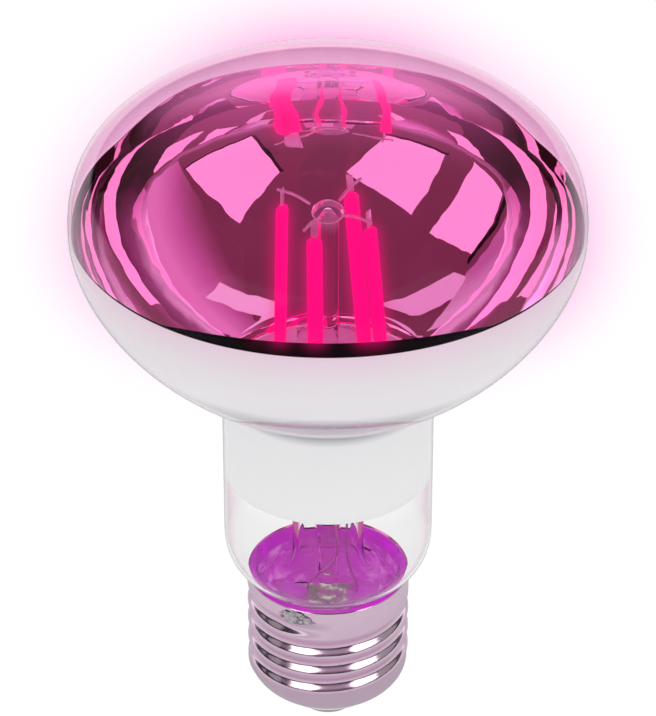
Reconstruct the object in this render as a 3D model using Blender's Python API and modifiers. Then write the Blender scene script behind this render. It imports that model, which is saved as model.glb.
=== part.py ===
"""Reflector grow light bulb: a blown glass envelope with a mirror coat, four LED filaments
on a glass stem, and an E27 screw cap with its driver inside.

The bulb's axis is +Z with the cap down. The origin is the bottom of the centre contact."""

import math

import bmesh
import bpy
from mathutils import Matrix, Vector

MM = 0.001

# Fit
CLEARANCE = 0.3 * MM

# Glass envelope, outside sizes
BULB_LENGTH = 112.6 * MM
BULB_RADIUS = 40.0 * MM
DOME_RISE = 20.7 * MM
DOME_POWER = 2.67
BOWL_DEPTH = 32.5 * MM
BOWL_POWER = 1.66
NECK_RADIUS = 16.8 * MM
NECK_FILLET = 2.0 * MM
SHOULDER_HEIGHT = 7.4 * MM
SHOULDER_INSET = 5.9 * MM
SHOULDER_END_RADIUS = 12.6 * MM
SHOULDER_LIFT = 0.6 * MM
SEAL_RADIUS = 11.4 * MM
SEAL_DEPTH = 3.5 * MM
GLASS_WALL = 0.7 * MM

# Mirror coat: its rim climbs at the back, between two shares of the way from the axis to the back
COAT_THICKNESS = 0.25 * MM
COAT_RIM_RISE = 1.7 * MM
COAT_BACK_RISE = 4.9 * MM
COAT_CLIMB = (0.5, 0.9)
COAT_CLEAR_NECK = 20.1 * MM

# Stem
BUTTON_LIFT = 2.5 * MM
BUTTON_RADIUS = 2.55 * MM
BUTTON_HALF_HEIGHT = 1.6 * MM
ROD_RADIUS = 1.7 * MM
PRESS_RADIUS = 5.6 * MM
PRESS_FLATNESS = 0.42
PRESS_HEIGHT = 8.0 * MM
STEM_HEIGHT = 30.1 * MM
FLARE_TUBE_RADIUS = 5.75 * MM
FLARE_RISE = 7.5 * MM
STEM_WALL = 0.85 * MM
EXHAUST_RADIUS = 2.0 * MM
EXHAUST_WALL = 0.6 * MM

# The stem's bore on its way up into the press, as shares of the bore
BORE_TAPER = (0.85, 0.55)

# Lead-in wires: azimuth in the tube, azimuth at the flare's waist, and share of the board's width
LEAD_PATHS = (
    (290.0, 242.0, -0.20),
    (30.0, 20.0, 0.28),
)

# Filaments: each seat gives the azimuth at the top, then the azimuth at the foot and how many
# times further out than the top the foot stands
FILAMENT_RISE = 4.0 * MM
FILAMENT_WIDTH = 2.4 * MM
FILAMENT_THICKNESS = 1.6 * MM
FILAMENT_EDGE = 0.55 * MM
FILAMENT_DROP = 0.5 * MM
CAGE_RADIUS = 7.5 * MM
FILAMENT_SEATS = (
    (160.0, 158.0, 1.12),
    (254.0, 258.0, 1.17),
    (62.0, 33.0, 1.28),
    (328.0, 337.0, 1.37),
)
TAB_LENGTH = 2.8 * MM
TAB_WIDTH = 1.1 * MM
TAB_THICKNESS = 0.3 * MM
TIE_SHARE = 0.6
ANCHOR_BEND = 0.6
ANCHOR_OVERHANG = 1.3 * MM
WIRE_RADIUS = 0.25 * MM
LEAD_LAP = 1.3 * MM
PRESS_EXIT_REACH = 3.4 * MM
PRESS_EXIT_SPREAD = 0.8 * MM
PRESS_EXIT_RISE = 1.0 * MM

# Screw cap shell
CAP_HEIGHT = 27.0 * MM
CAP_RADIUS = 13.2 * MM
CAP_SHEET = 0.3 * MM
THREAD_PITCH = 3.63 * MM
THREAD_DEPTH = 0.85 * MM
COLLAR_HEIGHT = 1.7 * MM
CAP_FOOT_RADIUS = 10.0 * MM
CAP_FOOT_HEIGHT = 5.2 * MM
CAP_FOOT_RISE = 3.8 * MM

# Thread course: where it starts, how many turns it takes, and the turns over which it fades
THREAD_START_ANGLE = 272.9
THREAD_TURNS = 4.1
THREAD_START_FADE = 0.12
THREAD_END_FADE = 0.8

# Insulator and centre contact
INSULATOR_TOP = 8.5 * MM
INSULATOR_FLANGE = 1.0 * MM
INSULATOR_NOSE_RADIUS = 5.4 * MM
INSULATOR_BELLY = 3.6 * MM
INSULATOR_TOE = 1.9 * MM
CONTACT_RADIUS = 4.8 * MM
CONTACT_HEIGHT = 1.1 * MM
CONTACT_EDGE = 0.5 * MM
PIN_RADIUS = 1.2 * MM

# Basing cement
CEMENT_DROP = 0.4 * MM
CEMENT_HEIGHT = 1.7 * MM
LEAD_SLOT = 1.4 * MM
SIDE_LEAD_AZIMUTH = 246.6
SIDE_LEAD_BENDS = (30.0, 8.0)

# Driver
BOARD_WIDTH = 17.0 * MM
BOARD_HEADROOM = 1.7 * MM
BOARD_THICKNESS = 1.0 * MM
BOARD_CHAMFER = 2.5 * MM
RESISTOR_RADIUS = 1.15 * MM
RESISTOR_LENGTH = 6.5 * MM
RESISTOR_FOOT = 1.6 * MM
RESISTOR_LEAD = 0.3 * MM
CAPACITOR_RADIUS = 2.5 * MM
CAPACITOR_HEIGHT = 8.0 * MM
CAPACITOR_OFFSET = 4.6 * MM
CAPACITOR_LIFT = 1.6 * MM
RECTIFIER_SIZE = (4.7 * MM, 2.4 * MM, 3.9 * MM)
RECTIFIER_OFFSET = 4.6 * MM
RECTIFIER_LIFT = 7.0 * MM
CHIP_SIZE = (4.9 * MM, 1.6 * MM, 3.9 * MM)
CHIP_OFFSET = 4.9 * MM
CHIP_LIFT = 3.2 * MM
PACKAGE_EDGE = 0.3 * MM

# Side weld on the collar
WELD_WIDTH = 4.4 * MM
WELD_HEIGHT = 2.2 * MM
WELD_THICKNESS = 0.5 * MM
WELD_DROP = 1.5 * MM

# Roundness of the pieces; the spread crowds the dome's rows towards its rim
STEPS = 36
DOME_ROWS = 9
DOME_ROW_SPREAD = 1.4
BOWL_ROWS = 10
FILLET_ROWS = 3
SHOULDER_ROWS = 5
BUTTON_ROWS = 6
FLARE_ROWS = 5
THREAD_ROWS = 6
COAT_RIM_ROWS = 3
CONTACT_STEPS = 24
SMALL_STEPS = 14
WELD_STEPS = 12
SMOOTH_ANGLE = math.radians(40.0)
MERGE_GAP = 0.01 * MM

# Derived heights
EQUATOR_Z = BULB_LENGTH - DOME_RISE
SHOULDER_Z = CAP_HEIGHT + SHOULDER_LIFT + SHOULDER_HEIGHT
SEAL_Z = CAP_HEIGHT - SEAL_DEPTH
BUTTON_Z = EQUATOR_Z + BUTTON_LIFT
FLARE_FOOT_Z = SEAL_Z + CLEARANCE
FLARE_RADIUS = SEAL_RADIUS - GLASS_WALL - CLEARANCE
FLARE_TOP_Z = FLARE_FOOT_Z + FLARE_RISE
PRESS_TOP_Z = FLARE_FOOT_Z + STEM_HEIGHT
PRESS_FOOT_Z = PRESS_TOP_Z - PRESS_HEIGHT
PRESS_LEAD = PRESS_HEIGHT / 4
FILAMENT_TOP_Z = BUTTON_Z - FILAMENT_DROP
FILAMENT_FOOT_Z = PRESS_TOP_Z + FILAMENT_RISE
BOARD_FOOT_Z = INSULATOR_TOP + CLEARANCE
BOARD_TOP_Z = SEAL_Z - BOARD_HEADROOM
BOARD_HEIGHT = BOARD_TOP_Z - BOARD_FOOT_Z
BOARD_FACE_Y = RESISTOR_RADIUS + CLEARANCE
EXHAUST_TIP_Z = SEAL_Z + CLEARANCE
COLLAR_Z = CAP_HEIGHT - COLLAR_HEIGHT
CEMENT_TOP_Z = CAP_HEIGHT - CEMENT_DROP
CEMENT_FOOT_Z = CEMENT_TOP_Z - CEMENT_HEIGHT
CEMENT_RADIUS = CAP_RADIUS - CAP_SHEET - CLEARANCE

QUARTER_TURN = math.pi / 2
FULL_TURN = 2 * math.pi


def clear_scene():
    for item in list(bpy.data.objects):
        bpy.data.objects.remove(item, do_unlink=True)


def new_collection(name):
    group = bpy.data.collections.new(name)
    bpy.context.scene.collection.children.link(group)
    return group


def material(name, color, roughness, metallic=0.0, alpha=1.0, glow=0.0):
    """A plain finish; glow is the strength of the light that it gives off."""
    finish = bpy.data.materials.new(name)
    finish.use_nodes = True
    shader = finish.node_tree.nodes["Principled BSDF"]
    shader.inputs["Base Color"].default_value = (*color, 1.0)
    shader.inputs["Roughness"].default_value = roughness
    shader.inputs["Metallic"].default_value = metallic
    shader.inputs["Alpha"].default_value = alpha
    if glow:
        shader.inputs["Emission Color"].default_value = (*color, 1.0)
        shader.inputs["Emission Strength"].default_value = glow
    return finish


def add_piece(name, data, group, finish, parent=None, smooth=True):
    """A named object of the bulb, hung on the axis."""
    piece = bpy.data.objects.new(name, data)
    group.objects.link(piece)
    data.materials.append(finish)
    piece.parent = parent
    if smooth and isinstance(data, bpy.types.Mesh):
        data.shade_smooth()
        data.set_sharp_from_angle(angle=SMOOTH_ANGLE)
    return piece


def profile_mesh(name, points):
    """An open line of (radius, height) points in the XZ plane, to be turned about Z."""
    mesh = bpy.data.meshes.new(name)
    edges = [(i, i + 1) for i in range(len(points) - 1)]
    mesh.from_pydata([(r, 0.0, z) for r, z in points], edges, [])
    return mesh


def turned(name, points, group, finish, parent, steps=STEPS, wall=None):
    """A piece turned about Z from its profile, with a wall to the inside if one is given."""
    piece = add_piece(name, profile_mesh(name, points), group, finish, parent, smooth=False)
    turn = piece.modifiers.new("Turn", 'SCREW')
    turn.axis = 'Z'
    turn.steps = steps
    turn.render_steps = steps
    turn.use_merge_vertices = True
    turn.merge_threshold = MERGE_GAP
    turn.use_smooth_shade = True
    if wall:
        thicken(piece, wall)
    return piece


def thicken(piece, wall):
    shell = piece.modifiers.new("Wall", 'SOLIDIFY')
    shell.thickness = wall
    shell.offset = -1.0
    shell.use_even_offset = True


def fixed_mesh(piece, group):
    """Replace a piece by a plain mesh of its evaluated shape, under the same name."""
    graph = bpy.context.evaluated_depsgraph_get()
    mesh = bpy.data.meshes.new_from_object(piece.evaluated_get(graph))
    name = piece.name
    parent = piece.parent
    place = piece.matrix_world.copy()
    bpy.data.objects.remove(piece, do_unlink=True)
    shape = bmesh.new()
    shape.from_mesh(mesh)
    bmesh.ops.remove_doubles(shape, verts=shape.verts, dist=MERGE_GAP)
    shape.to_mesh(mesh)
    shape.free()
    mesh.name = name
    result = bpy.data.objects.new(name, mesh)
    group.objects.link(result)
    result.parent = parent
    result.matrix_world = place
    return result


def cut(piece, cutter):
    bite = piece.modifiers.new("Cut", 'BOOLEAN')
    bite.operation = 'DIFFERENCE'
    bite.solver = 'EXACT'
    bite.object = cutter


def block(name, size, group, finish, parent, edge=None, rows=2):
    """A box about its own origin, with rounded edges if an edge radius is given."""
    shape = bmesh.new()
    bmesh.ops.create_cube(shape, size=1.0)
    bmesh.ops.scale(shape, vec=Vector(size), verts=shape.verts)
    mesh = bpy.data.meshes.new(name)
    shape.to_mesh(mesh)
    shape.free()
    piece = add_piece(name, mesh, group, finish, parent)
    if edge:
        rounding = piece.modifiers.new("Edges", 'BEVEL')
        rounding.width = edge
        rounding.segments = rows
        rounding.limit_method = 'ANGLE'
    return piece


def wire(name, points, group, finish, parent, radius=WIRE_RADIUS):
    """A round wire along straight runs between points."""
    data = bpy.data.curves.new(name, 'CURVE')
    data.dimensions = '3D'
    data.bevel_depth = radius
    data.bevel_resolution = 1
    data.use_fill_caps = True
    run = data.splines.new('POLY')
    run.points.add(len(points) - 1)
    for point, place in zip(run.points, points):
        point.co = (*place, 1.0)
    return add_piece(name, data, group, finish, parent)


def polar(azimuth, radius, z):
    """A point at an azimuth in degrees, counted from +X towards +Y."""
    angle = math.radians(azimuth)
    return Vector((radius * math.cos(angle), radius * math.sin(angle), z))


def superellipse(angle, radius, rise, power):
    """Radius and height above the equator on a quarter superellipse; angle 0 is the equator."""
    across = max(math.cos(angle), 0.0)
    up = max(math.sin(angle), 0.0)
    return radius * across ** (2.0 / power), rise * up ** (2.0 / power)


def rounded_corner(before, corner, after, radius, rows):
    """An arc that rounds the corner between two straight runs, as (radius, height) points."""
    corner = Vector(corner)
    back = (Vector(before) - corner).normalized()
    ahead = (Vector(after) - corner).normalized()
    half = back.angle(ahead) / 2
    centre = corner + (back + ahead).normalized() * (radius / math.sin(half))
    start = corner + back * (radius / math.tan(half)) - centre
    finish = corner + ahead * (radius / math.tan(half)) - centre
    points = []
    for row in range(rows + 1):
        share = row / rows
        points.append(tuple(centre + start.lerp(finish, share).normalized() * radius))
    return points


def inset(points, distance):
    """A profile moved towards the inside of the glass by a distance."""
    moved = []
    last = len(points) - 1
    for index, (r, z) in enumerate(points):
        before = Vector(points[max(index - 1, 0)])
        after = Vector(points[min(index + 1, last)])
        run = (after - before).normalized()
        moved.append((max(r + run.y * distance, 0.0), z - run.x * distance))
    return moved


def bowl_join():
    """The bowl's angle where it meets the neck, and that corner's height."""
    angle = math.acos((NECK_RADIUS / BULB_RADIUS) ** (BOWL_POWER / 2))
    return angle, EQUATOR_Z - superellipse(angle, BULB_RADIUS, BOWL_DEPTH, BOWL_POWER)[1]


def dome_outline():
    """The dome, from its top to the equator."""
    points = []
    for row in range(DOME_ROWS + 1):
        angle = QUARTER_TURN * (1 - row / DOME_ROWS) ** DOME_ROW_SPREAD
        r, rise = superellipse(angle, BULB_RADIUS, DOME_RISE, DOME_POWER)
        points.append((r if row else 0.0, EQUATOR_Z + rise))
    return points


def bowl_outline():
    """The bowl, from below the equator to the fillet at the top of the neck."""
    join_angle, join_z = bowl_join()
    corner = (NECK_RADIUS, join_z)
    points = []
    for row in range(1, BOWL_ROWS):
        r, drop = superellipse(join_angle * row / BOWL_ROWS, BULB_RADIUS, BOWL_DEPTH, BOWL_POWER)
        points.append((r, EQUATOR_Z - drop))
    below = (NECK_RADIUS, join_z - NECK_RADIUS)
    return points + rounded_corner(points[-1], corner, below, NECK_FILLET, FILLET_ROWS)


def envelope_outline():
    """The outside of the glass, from the top of the dome to its edge inside the cap."""
    points = dome_outline() + bowl_outline()
    end_angle = math.acos(1 - (NECK_RADIUS - SHOULDER_END_RADIUS) / SHOULDER_INSET)
    for row in range(SHOULDER_ROWS + 1):
        angle = end_angle * row / SHOULDER_ROWS
        r = NECK_RADIUS - SHOULDER_INSET * (1 - math.cos(angle))
        points.append((r, SHOULDER_Z - SHOULDER_HEIGHT * math.sin(angle)))
    points.append((SEAL_RADIUS, CAP_HEIGHT - CEMENT_DROP))
    points.append((SEAL_RADIUS, SEAL_Z))
    return points


def point_at_height(points, z):
    """Where a falling profile crosses a height."""
    for (r0, z0), (r1, z1) in zip(points, points[1:]):
        if z1 <= z <= z0 and z0 > z1:
            return r0 + (r1 - r0) * (z0 - z) / (z0 - z1), z
    return points[-1]


def coat_rise(place):
    """How far the coat's rim stands above the equator on one side of the bulb."""
    start, end = COAT_CLIMB
    share = (place.y / math.hypot(place.x, place.y) - start) / (end - start)
    share = min(max(share, 0.0), 1.0)
    return COAT_RIM_RISE + COAT_BACK_RISE * share * share * (3 - 2 * share)


def build_glass(group, finishes, axis):
    """The envelope, and the mirror coat that lines its bowl and the top of its neck."""
    turned("glass_envelope", envelope_outline(), group, finishes["glass"], axis, wall=GLASS_WALL)
    line = inset(dome_outline() + bowl_outline() + [(NECK_RADIUS, SHOULDER_Z)],
                 GLASS_WALL + CLEARANCE)
    foot = CAP_HEIGHT + COAT_CLEAR_NECK
    outline = [point_at_height(line, EQUATOR_Z + COAT_RIM_RISE * row / COAT_RIM_ROWS)
               for row in range(COAT_RIM_ROWS, -1, -1)]
    outline += [point for point in line if foot < point[1] < EQUATOR_Z - CLEARANCE]
    outline.append((line[-1][0], foot))
    blank = turned("reflector_coating", outline, group, finishes["mirror"], axis)
    coat = fixed_mesh(blank, group)
    for vertex in coat.data.vertices:
        place = vertex.co
        if place.z > EQUATOR_Z:
            place.z = EQUATOR_Z + (place.z - EQUATOR_Z) * coat_rise(place) / COAT_RIM_RISE
            scale = point_at_height(line, place.z)[0] / math.hypot(place.x, place.y)
            place.x *= scale
            place.y *= scale
    thicken(coat, COAT_THICKNESS)


def press_squeeze(z):
    """How far the stem is squeezed flat at a height: 0 is round, 1 is the press itself."""
    up = min(max((z - (PRESS_FOOT_Z - PRESS_LEAD)) / PRESS_LEAD, 0.0), 1.0)
    down = min(max((PRESS_TOP_Z + PRESS_LEAD / 2 - z) / (PRESS_LEAD / 2), 0.0), 1.0)
    share = min(up, down)
    return share * share * (3 - 2 * share)


def stem_outline():
    """Button, rod, press, tube and flare down the outside, then the flare's inside up again."""
    points = [(0.0, BUTTON_Z + BUTTON_HALF_HEIGHT)]
    end_angle = math.acos(ROD_RADIUS / BUTTON_RADIUS)
    for row in range(1, BUTTON_ROWS + 1):
        angle = QUARTER_TURN - (QUARTER_TURN + end_angle) * row / BUTTON_ROWS
        r = BUTTON_RADIUS * math.cos(angle)
        points.append((r, BUTTON_Z + BUTTON_HALF_HEIGHT * math.sin(angle)))
    points.append((ROD_RADIUS, PRESS_TOP_Z + PRESS_LEAD / 2))
    points.append((PRESS_RADIUS - STEM_WALL, PRESS_TOP_Z))
    points.append((PRESS_RADIUS, PRESS_TOP_Z - STEM_WALL))
    points.append((PRESS_RADIUS, PRESS_FOOT_Z))
    points.append((FLARE_TUBE_RADIUS, PRESS_FOOT_Z - PRESS_LEAD / 2))
    points.append((FLARE_TUBE_RADIUS, PRESS_FOOT_Z - PRESS_LEAD))
    flare = []
    for row in range(FLARE_ROWS + 1):
        angle = QUARTER_TURN * row / FLARE_ROWS
        r = FLARE_TUBE_RADIUS + (FLARE_RADIUS - FLARE_TUBE_RADIUS) * (1 - math.cos(angle))
        flare.append((r, FLARE_TOP_Z - (FLARE_RISE - STEM_WALL) * math.sin(angle)))
    points += flare
    inner = [(FLARE_RADIUS, FLARE_FOOT_Z)]
    for r, z in reversed(flare[:-1]):
        inner.append((r - STEM_WALL, z - STEM_WALL * (r - FLARE_TUBE_RADIUS) / FLARE_TUBE_RADIUS))
    bore = FLARE_TUBE_RADIUS - STEM_WALL
    inner.append((bore, PRESS_FOOT_Z - 2 * PRESS_LEAD))
    inner.append((bore * BORE_TAPER[0], PRESS_FOOT_Z - PRESS_LEAD / 2))
    inner.append((bore * BORE_TAPER[1], PRESS_FOOT_Z))
    inner.append((0.0, PRESS_FOOT_Z + CLEARANCE))
    return points + inner


def build_stem(group, finishes, axis):
    stem = turned("glass_stem", stem_outline(), group, finishes["stem"], axis, steps=SMALL_STEPS)
    stem = fixed_mesh(stem, group)
    for vertex in stem.data.vertices:
        share = press_squeeze(vertex.co.z)
        vertex.co.y *= 1 - share * (1 - PRESS_FLATNESS)
    stem.data.shade_smooth()
    stem.data.set_sharp_from_angle(angle=SMOOTH_ANGLE)

    bore = EXHAUST_RADIUS - EXHAUST_WALL
    top = PRESS_FOOT_Z - CLEARANCE - EXHAUST_WALL
    shoulder = EXHAUST_TIP_Z + EXHAUST_RADIUS
    slant = EXHAUST_RADIUS * math.cos(QUARTER_TURN / 2)
    turned("exhaust_tube", [
        (bore, top),
        (EXHAUST_RADIUS, top),
        (EXHAUST_RADIUS, shoulder),
        (slant, shoulder - slant),
        (0.0, EXHAUST_TIP_Z),
        (0.0, shoulder),
        (bore, shoulder + EXHAUST_RADIUS / 2),
        (bore, top),
    ], group, finishes["stem"], axis, steps=SMALL_STEPS)


def filament_frame(seat):
    """Foot and head of a filament, with its own axes: along it, outwards and sideways."""
    top_azimuth, foot_azimuth, spread = seat
    head = polar(top_azimuth, CAGE_RADIUS, FILAMENT_TOP_Z)
    foot = polar(foot_azimuth, CAGE_RADIUS * spread, FILAMENT_FOOT_Z)
    along = (head - foot).normalized()
    outward = polar(top_azimuth, 1.0, 0.0)
    outward = (outward - along * outward.dot(along)).normalized()
    return foot, head, along, outward, outward.cross(along)


def turn_to(along, outward, sideways, place):
    """The placement whose X is sideways, Y outwards and Z along."""
    rotation = Matrix((sideways, outward, along)).transposed().to_4x4()
    return Matrix.Translation(place) @ rotation


def build_filaments(group, finishes, axis):
    anchor_z = BUTTON_Z + BUTTON_HALF_HEIGHT / 3
    for number, seat in enumerate(FILAMENT_SEATS, start=1):
        foot, head, along, outward, sideways = filament_frame(seat)
        middle = (foot + head) / 2
        length = (head - foot).length
        strip = block(f"led_filament_{number}", (FILAMENT_WIDTH, FILAMENT_THICKNESS, length),
                      group, finishes["filament"], axis, edge=FILAMENT_EDGE)
        strip.matrix_world = turn_to(along, outward, sideways, middle)

        tab_size = (TAB_WIDTH, TAB_THICKNESS, TAB_LENGTH)
        step = CLEARANCE + TAB_LENGTH / 2
        for place, label in ((head + along * step, "upper"), (foot - along * step, "lower")):
            tab = block(f"{label}_tab_{number}", tab_size, group, finishes["nickel"], axis)
            tab.matrix_world = turn_to(along, outward, sideways, place)

        beside = sideways * (TAB_WIDTH / 2 + CLEARANCE + WIRE_RADIUS)
        tie = head + along * (CLEARANCE + TAB_LENGTH * TIE_SHARE) + beside
        away = Vector((tie.x, tie.y, 0.0)).normalized()
        start = away * (BUTTON_RADIUS + CLEARANCE + WIRE_RADIUS)
        start.z = anchor_z
        bend = start.lerp(tie, ANCHOR_BEND) + Vector((0.0, 0.0, WIRE_RADIUS))
        wire(f"anchor_wire_{number}", (start, bend, tie, tie + away * ANCHOR_OVERHANG),
             group, finishes["nickel"], axis)

        side = math.copysign(1.0, foot.x)
        depth = math.copysign(1.0, foot.y)
        exit_z = PRESS_TOP_Z + CLEARANCE
        base = Vector((side * PRESS_EXIT_REACH, depth * PRESS_EXIT_SPREAD, exit_z))
        over = base + Vector((0.0, 0.0, PRESS_EXIT_RISE))
        reach = TAB_THICKNESS / 2 + CLEARANCE + WIRE_RADIUS
        end = foot - along * (CLEARANCE + TAB_LENGTH * TIE_SHARE) - outward * reach
        wire(f"lower_wire_{number}", (base, over, end), group, finishes["nickel"], axis)


def thread_groove(angle, z):
    """Depth of the rolled thread: 0 on a crest, 1 in a root. It rises by a pitch each turn."""
    around = (angle - math.radians(THREAD_START_ANGLE)) / FULL_TURN
    turns = (z - COLLAR_Z) / THREAD_PITCH - around
    course = -math.ceil(turns) - around
    wave = (1 - math.cos(FULL_TURN * turns)) / 2
    start = min(max(course / THREAD_START_FADE, 0.0), 1.0)
    end = min(max((THREAD_TURNS - course) / THREAD_END_FADE, 0.0), 1.0)
    return wave * start * end


def build_cap(group, finishes, axis):
    foot_top = CAP_FOOT_HEIGHT + CAP_FOOT_RISE
    rows = round(THREAD_ROWS * (COLLAR_Z - foot_top) / THREAD_PITCH)
    outline = [(CAP_RADIUS, CAP_HEIGHT)]
    for row in range(rows + 1):
        outline.append((CAP_RADIUS, COLLAR_Z + (foot_top - COLLAR_Z) * row / rows))
    outline.append((CAP_FOOT_RADIUS, CAP_FOOT_HEIGHT))
    blank = turned("cap_shell", outline, group, finishes["cap"], axis)
    shell = fixed_mesh(blank, group)
    for vertex in shell.data.vertices:
        place = vertex.co
        radius = math.hypot(place.x, place.y)
        groove = THREAD_DEPTH * thread_groove(math.atan2(place.y, place.x), place.z)
        scale = (radius - groove) / radius
        place.x *= scale
        place.y *= scale
    thicken(shell, CAP_SHEET)

    top = INSULATOR_TOP
    slope = (CAP_RADIUS - CAP_FOOT_RADIUS) / CAP_FOOT_RISE
    back = (CAP_SHEET + CLEARANCE) * math.hypot(slope, 1)
    seat = CAP_FOOT_HEIGHT + CAP_SHEET + CLEARANCE
    brim = top - INSULATOR_FLANGE
    throat = CAP_FOOT_RADIUS - CAP_SHEET - 2 * CLEARANCE
    hole = PIN_RADIUS + CLEARANCE
    nose = CONTACT_HEIGHT + CLEARANCE
    brim_radius = CAP_FOOT_RADIUS + (brim - CAP_FOOT_HEIGHT) * slope - back
    turned("cap_insulator", [
        (hole, top),
        (brim_radius - INSULATOR_FLANGE / 2, top),
        (brim_radius, top - INSULATOR_FLANGE / 2),
        (brim_radius, brim),
        (CAP_FOOT_RADIUS + (seat - CAP_FOOT_HEIGHT) * slope - back, seat),
        (throat, seat),
        (throat, INSULATOR_BELLY),
        ((throat + INSULATOR_NOSE_RADIUS) / 2, INSULATOR_TOE),
        (INSULATOR_NOSE_RADIUS, nose),
        (hole, nose),
        (hole, top),
    ], group, finishes["insulator"], axis)

    turned("centre_contact", [
        (0.0, top),
        (PIN_RADIUS, top),
        (PIN_RADIUS, CONTACT_HEIGHT),
        (CONTACT_RADIUS - CONTACT_EDGE / 2, CONTACT_HEIGHT),
        (CONTACT_RADIUS, CONTACT_HEIGHT - CONTACT_EDGE / 2),
        (CONTACT_RADIUS, CONTACT_EDGE),
        (CONTACT_RADIUS - CONTACT_EDGE, 0.0),
        (0.0, 0.0),
    ], group, finishes["brass"], axis, steps=CONTACT_STEPS)


def build_cement(group, cutters, finishes, axis):
    inner = SEAL_RADIUS + CLEARANCE
    ring = turned("basing_cement", [
        (inner, CEMENT_TOP_Z - CLEARANCE),
        (CEMENT_RADIUS, CEMENT_TOP_Z - CLEARANCE),
        (CEMENT_RADIUS, CEMENT_FOOT_Z),
        (inner, CEMENT_FOOT_Z),
        (inner, CEMENT_TOP_Z - CLEARANCE),
    ], group, finishes["cement"], axis)
    middle = (inner + CEMENT_RADIUS) / 2
    thickness = CEMENT_RADIUS - inner
    size = (3 * thickness, LEAD_SLOT, 2 * CEMENT_HEIGHT)
    slot = block("lead_slot", size, cutters, finishes["cement"], axis)
    slot.matrix_world = (Matrix.Translation(polar(SIDE_LEAD_AZIMUTH, middle, CEMENT_FOOT_Z))
                         @ Matrix.Rotation(math.radians(SIDE_LEAD_AZIMUTH), 4, 'Z'))
    slot.hide_render = True
    slot.display_type = 'WIRE'
    cut(ring, slot)


def build_driver(group, finishes, axis):
    """The board stands on the insulator, with its face just behind the bulb's axis."""
    half = BOARD_WIDTH / 2
    data = bpy.data.curves.new("driver_board", 'CURVE')
    data.dimensions = '2D'
    data.fill_mode = 'BOTH'
    data.extrude = BOARD_THICKNESS / 2
    corners = (
        (-half, BOARD_CHAMFER),
        (BOARD_CHAMFER - half, 0.0),
        (half - BOARD_CHAMFER, 0.0),
        (half, BOARD_CHAMFER),
        (half, BOARD_HEIGHT),
        (-half, BOARD_HEIGHT),
    )
    run = data.splines.new('POLY')
    run.points.add(len(corners) - 1)
    run.use_cyclic_u = True
    for point, (x, z) in zip(run.points, corners):
        point.co = (x, z, 0.0, 1.0)
    board = add_piece("driver_board", data, group, finishes["board"], axis)
    board.location = (0.0, BOARD_FACE_Y + BOARD_THICKNESS / 2, BOARD_FOOT_Z)
    board.rotation_euler = (math.radians(90), 0.0, 0.0)
    bpy.context.view_layer.update()
    fixed_mesh(board, group)

    low = INSULATOR_TOP + CLEARANCE
    body = low + RESISTOR_FOOT
    cap_end = body + RESISTOR_LENGTH
    edge = RESISTOR_RADIUS / 3
    turned("fusible_resistor", [
        (0.0, cap_end + RESISTOR_FOOT),
        (RESISTOR_LEAD, cap_end + RESISTOR_FOOT),
        (RESISTOR_LEAD, cap_end),
        (RESISTOR_RADIUS - edge, cap_end),
        (RESISTOR_RADIUS, cap_end - edge),
        (RESISTOR_RADIUS, body + edge),
        (RESISTOR_RADIUS - edge, body),
        (RESISTOR_LEAD, body),
        (RESISTOR_LEAD, low),
        (0.0, low),
    ], group, finishes["resistor"], axis, steps=SMALL_STEPS)

    edge = CAPACITOR_RADIUS / 6
    can = turned("capacitor", [
        (0.0, CAPACITOR_HEIGHT),
        (CAPACITOR_RADIUS - edge, CAPACITOR_HEIGHT),
        (CAPACITOR_RADIUS, CAPACITOR_HEIGHT - edge),
        (CAPACITOR_RADIUS, 3 * edge),
        (CAPACITOR_RADIUS - edge, 2.5 * edge),
        (CAPACITOR_RADIUS, 2 * edge),
        (CAPACITOR_RADIUS, 0.0),
        (0.0, 0.0),
    ], group, finishes["capacitor"], axis, steps=SMALL_STEPS)
    back = BOARD_FACE_Y + BOARD_THICKNESS + CLEARANCE
    can.location = (-CAPACITOR_OFFSET, back + CAPACITOR_RADIUS, BOARD_FOOT_Z + CAPACITOR_LIFT)

    bridge = block("bridge_rectifier", RECTIFIER_SIZE, group, finishes["package"], axis,
                   edge=PACKAGE_EDGE, rows=1)
    bridge.location = (RECTIFIER_OFFSET, back + RECTIFIER_SIZE[1] / 2,
                       BOARD_FOOT_Z + RECTIFIER_LIFT)
    chip = block("driver_chip", CHIP_SIZE, group, finishes["package"], axis,
                 edge=PACKAGE_EDGE, rows=1)
    chip.location = (CHIP_OFFSET, BOARD_FACE_Y - CLEARANCE - CHIP_SIZE[1] / 2,
                     BOARD_FOOT_Z + CHIP_LIFT)


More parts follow.
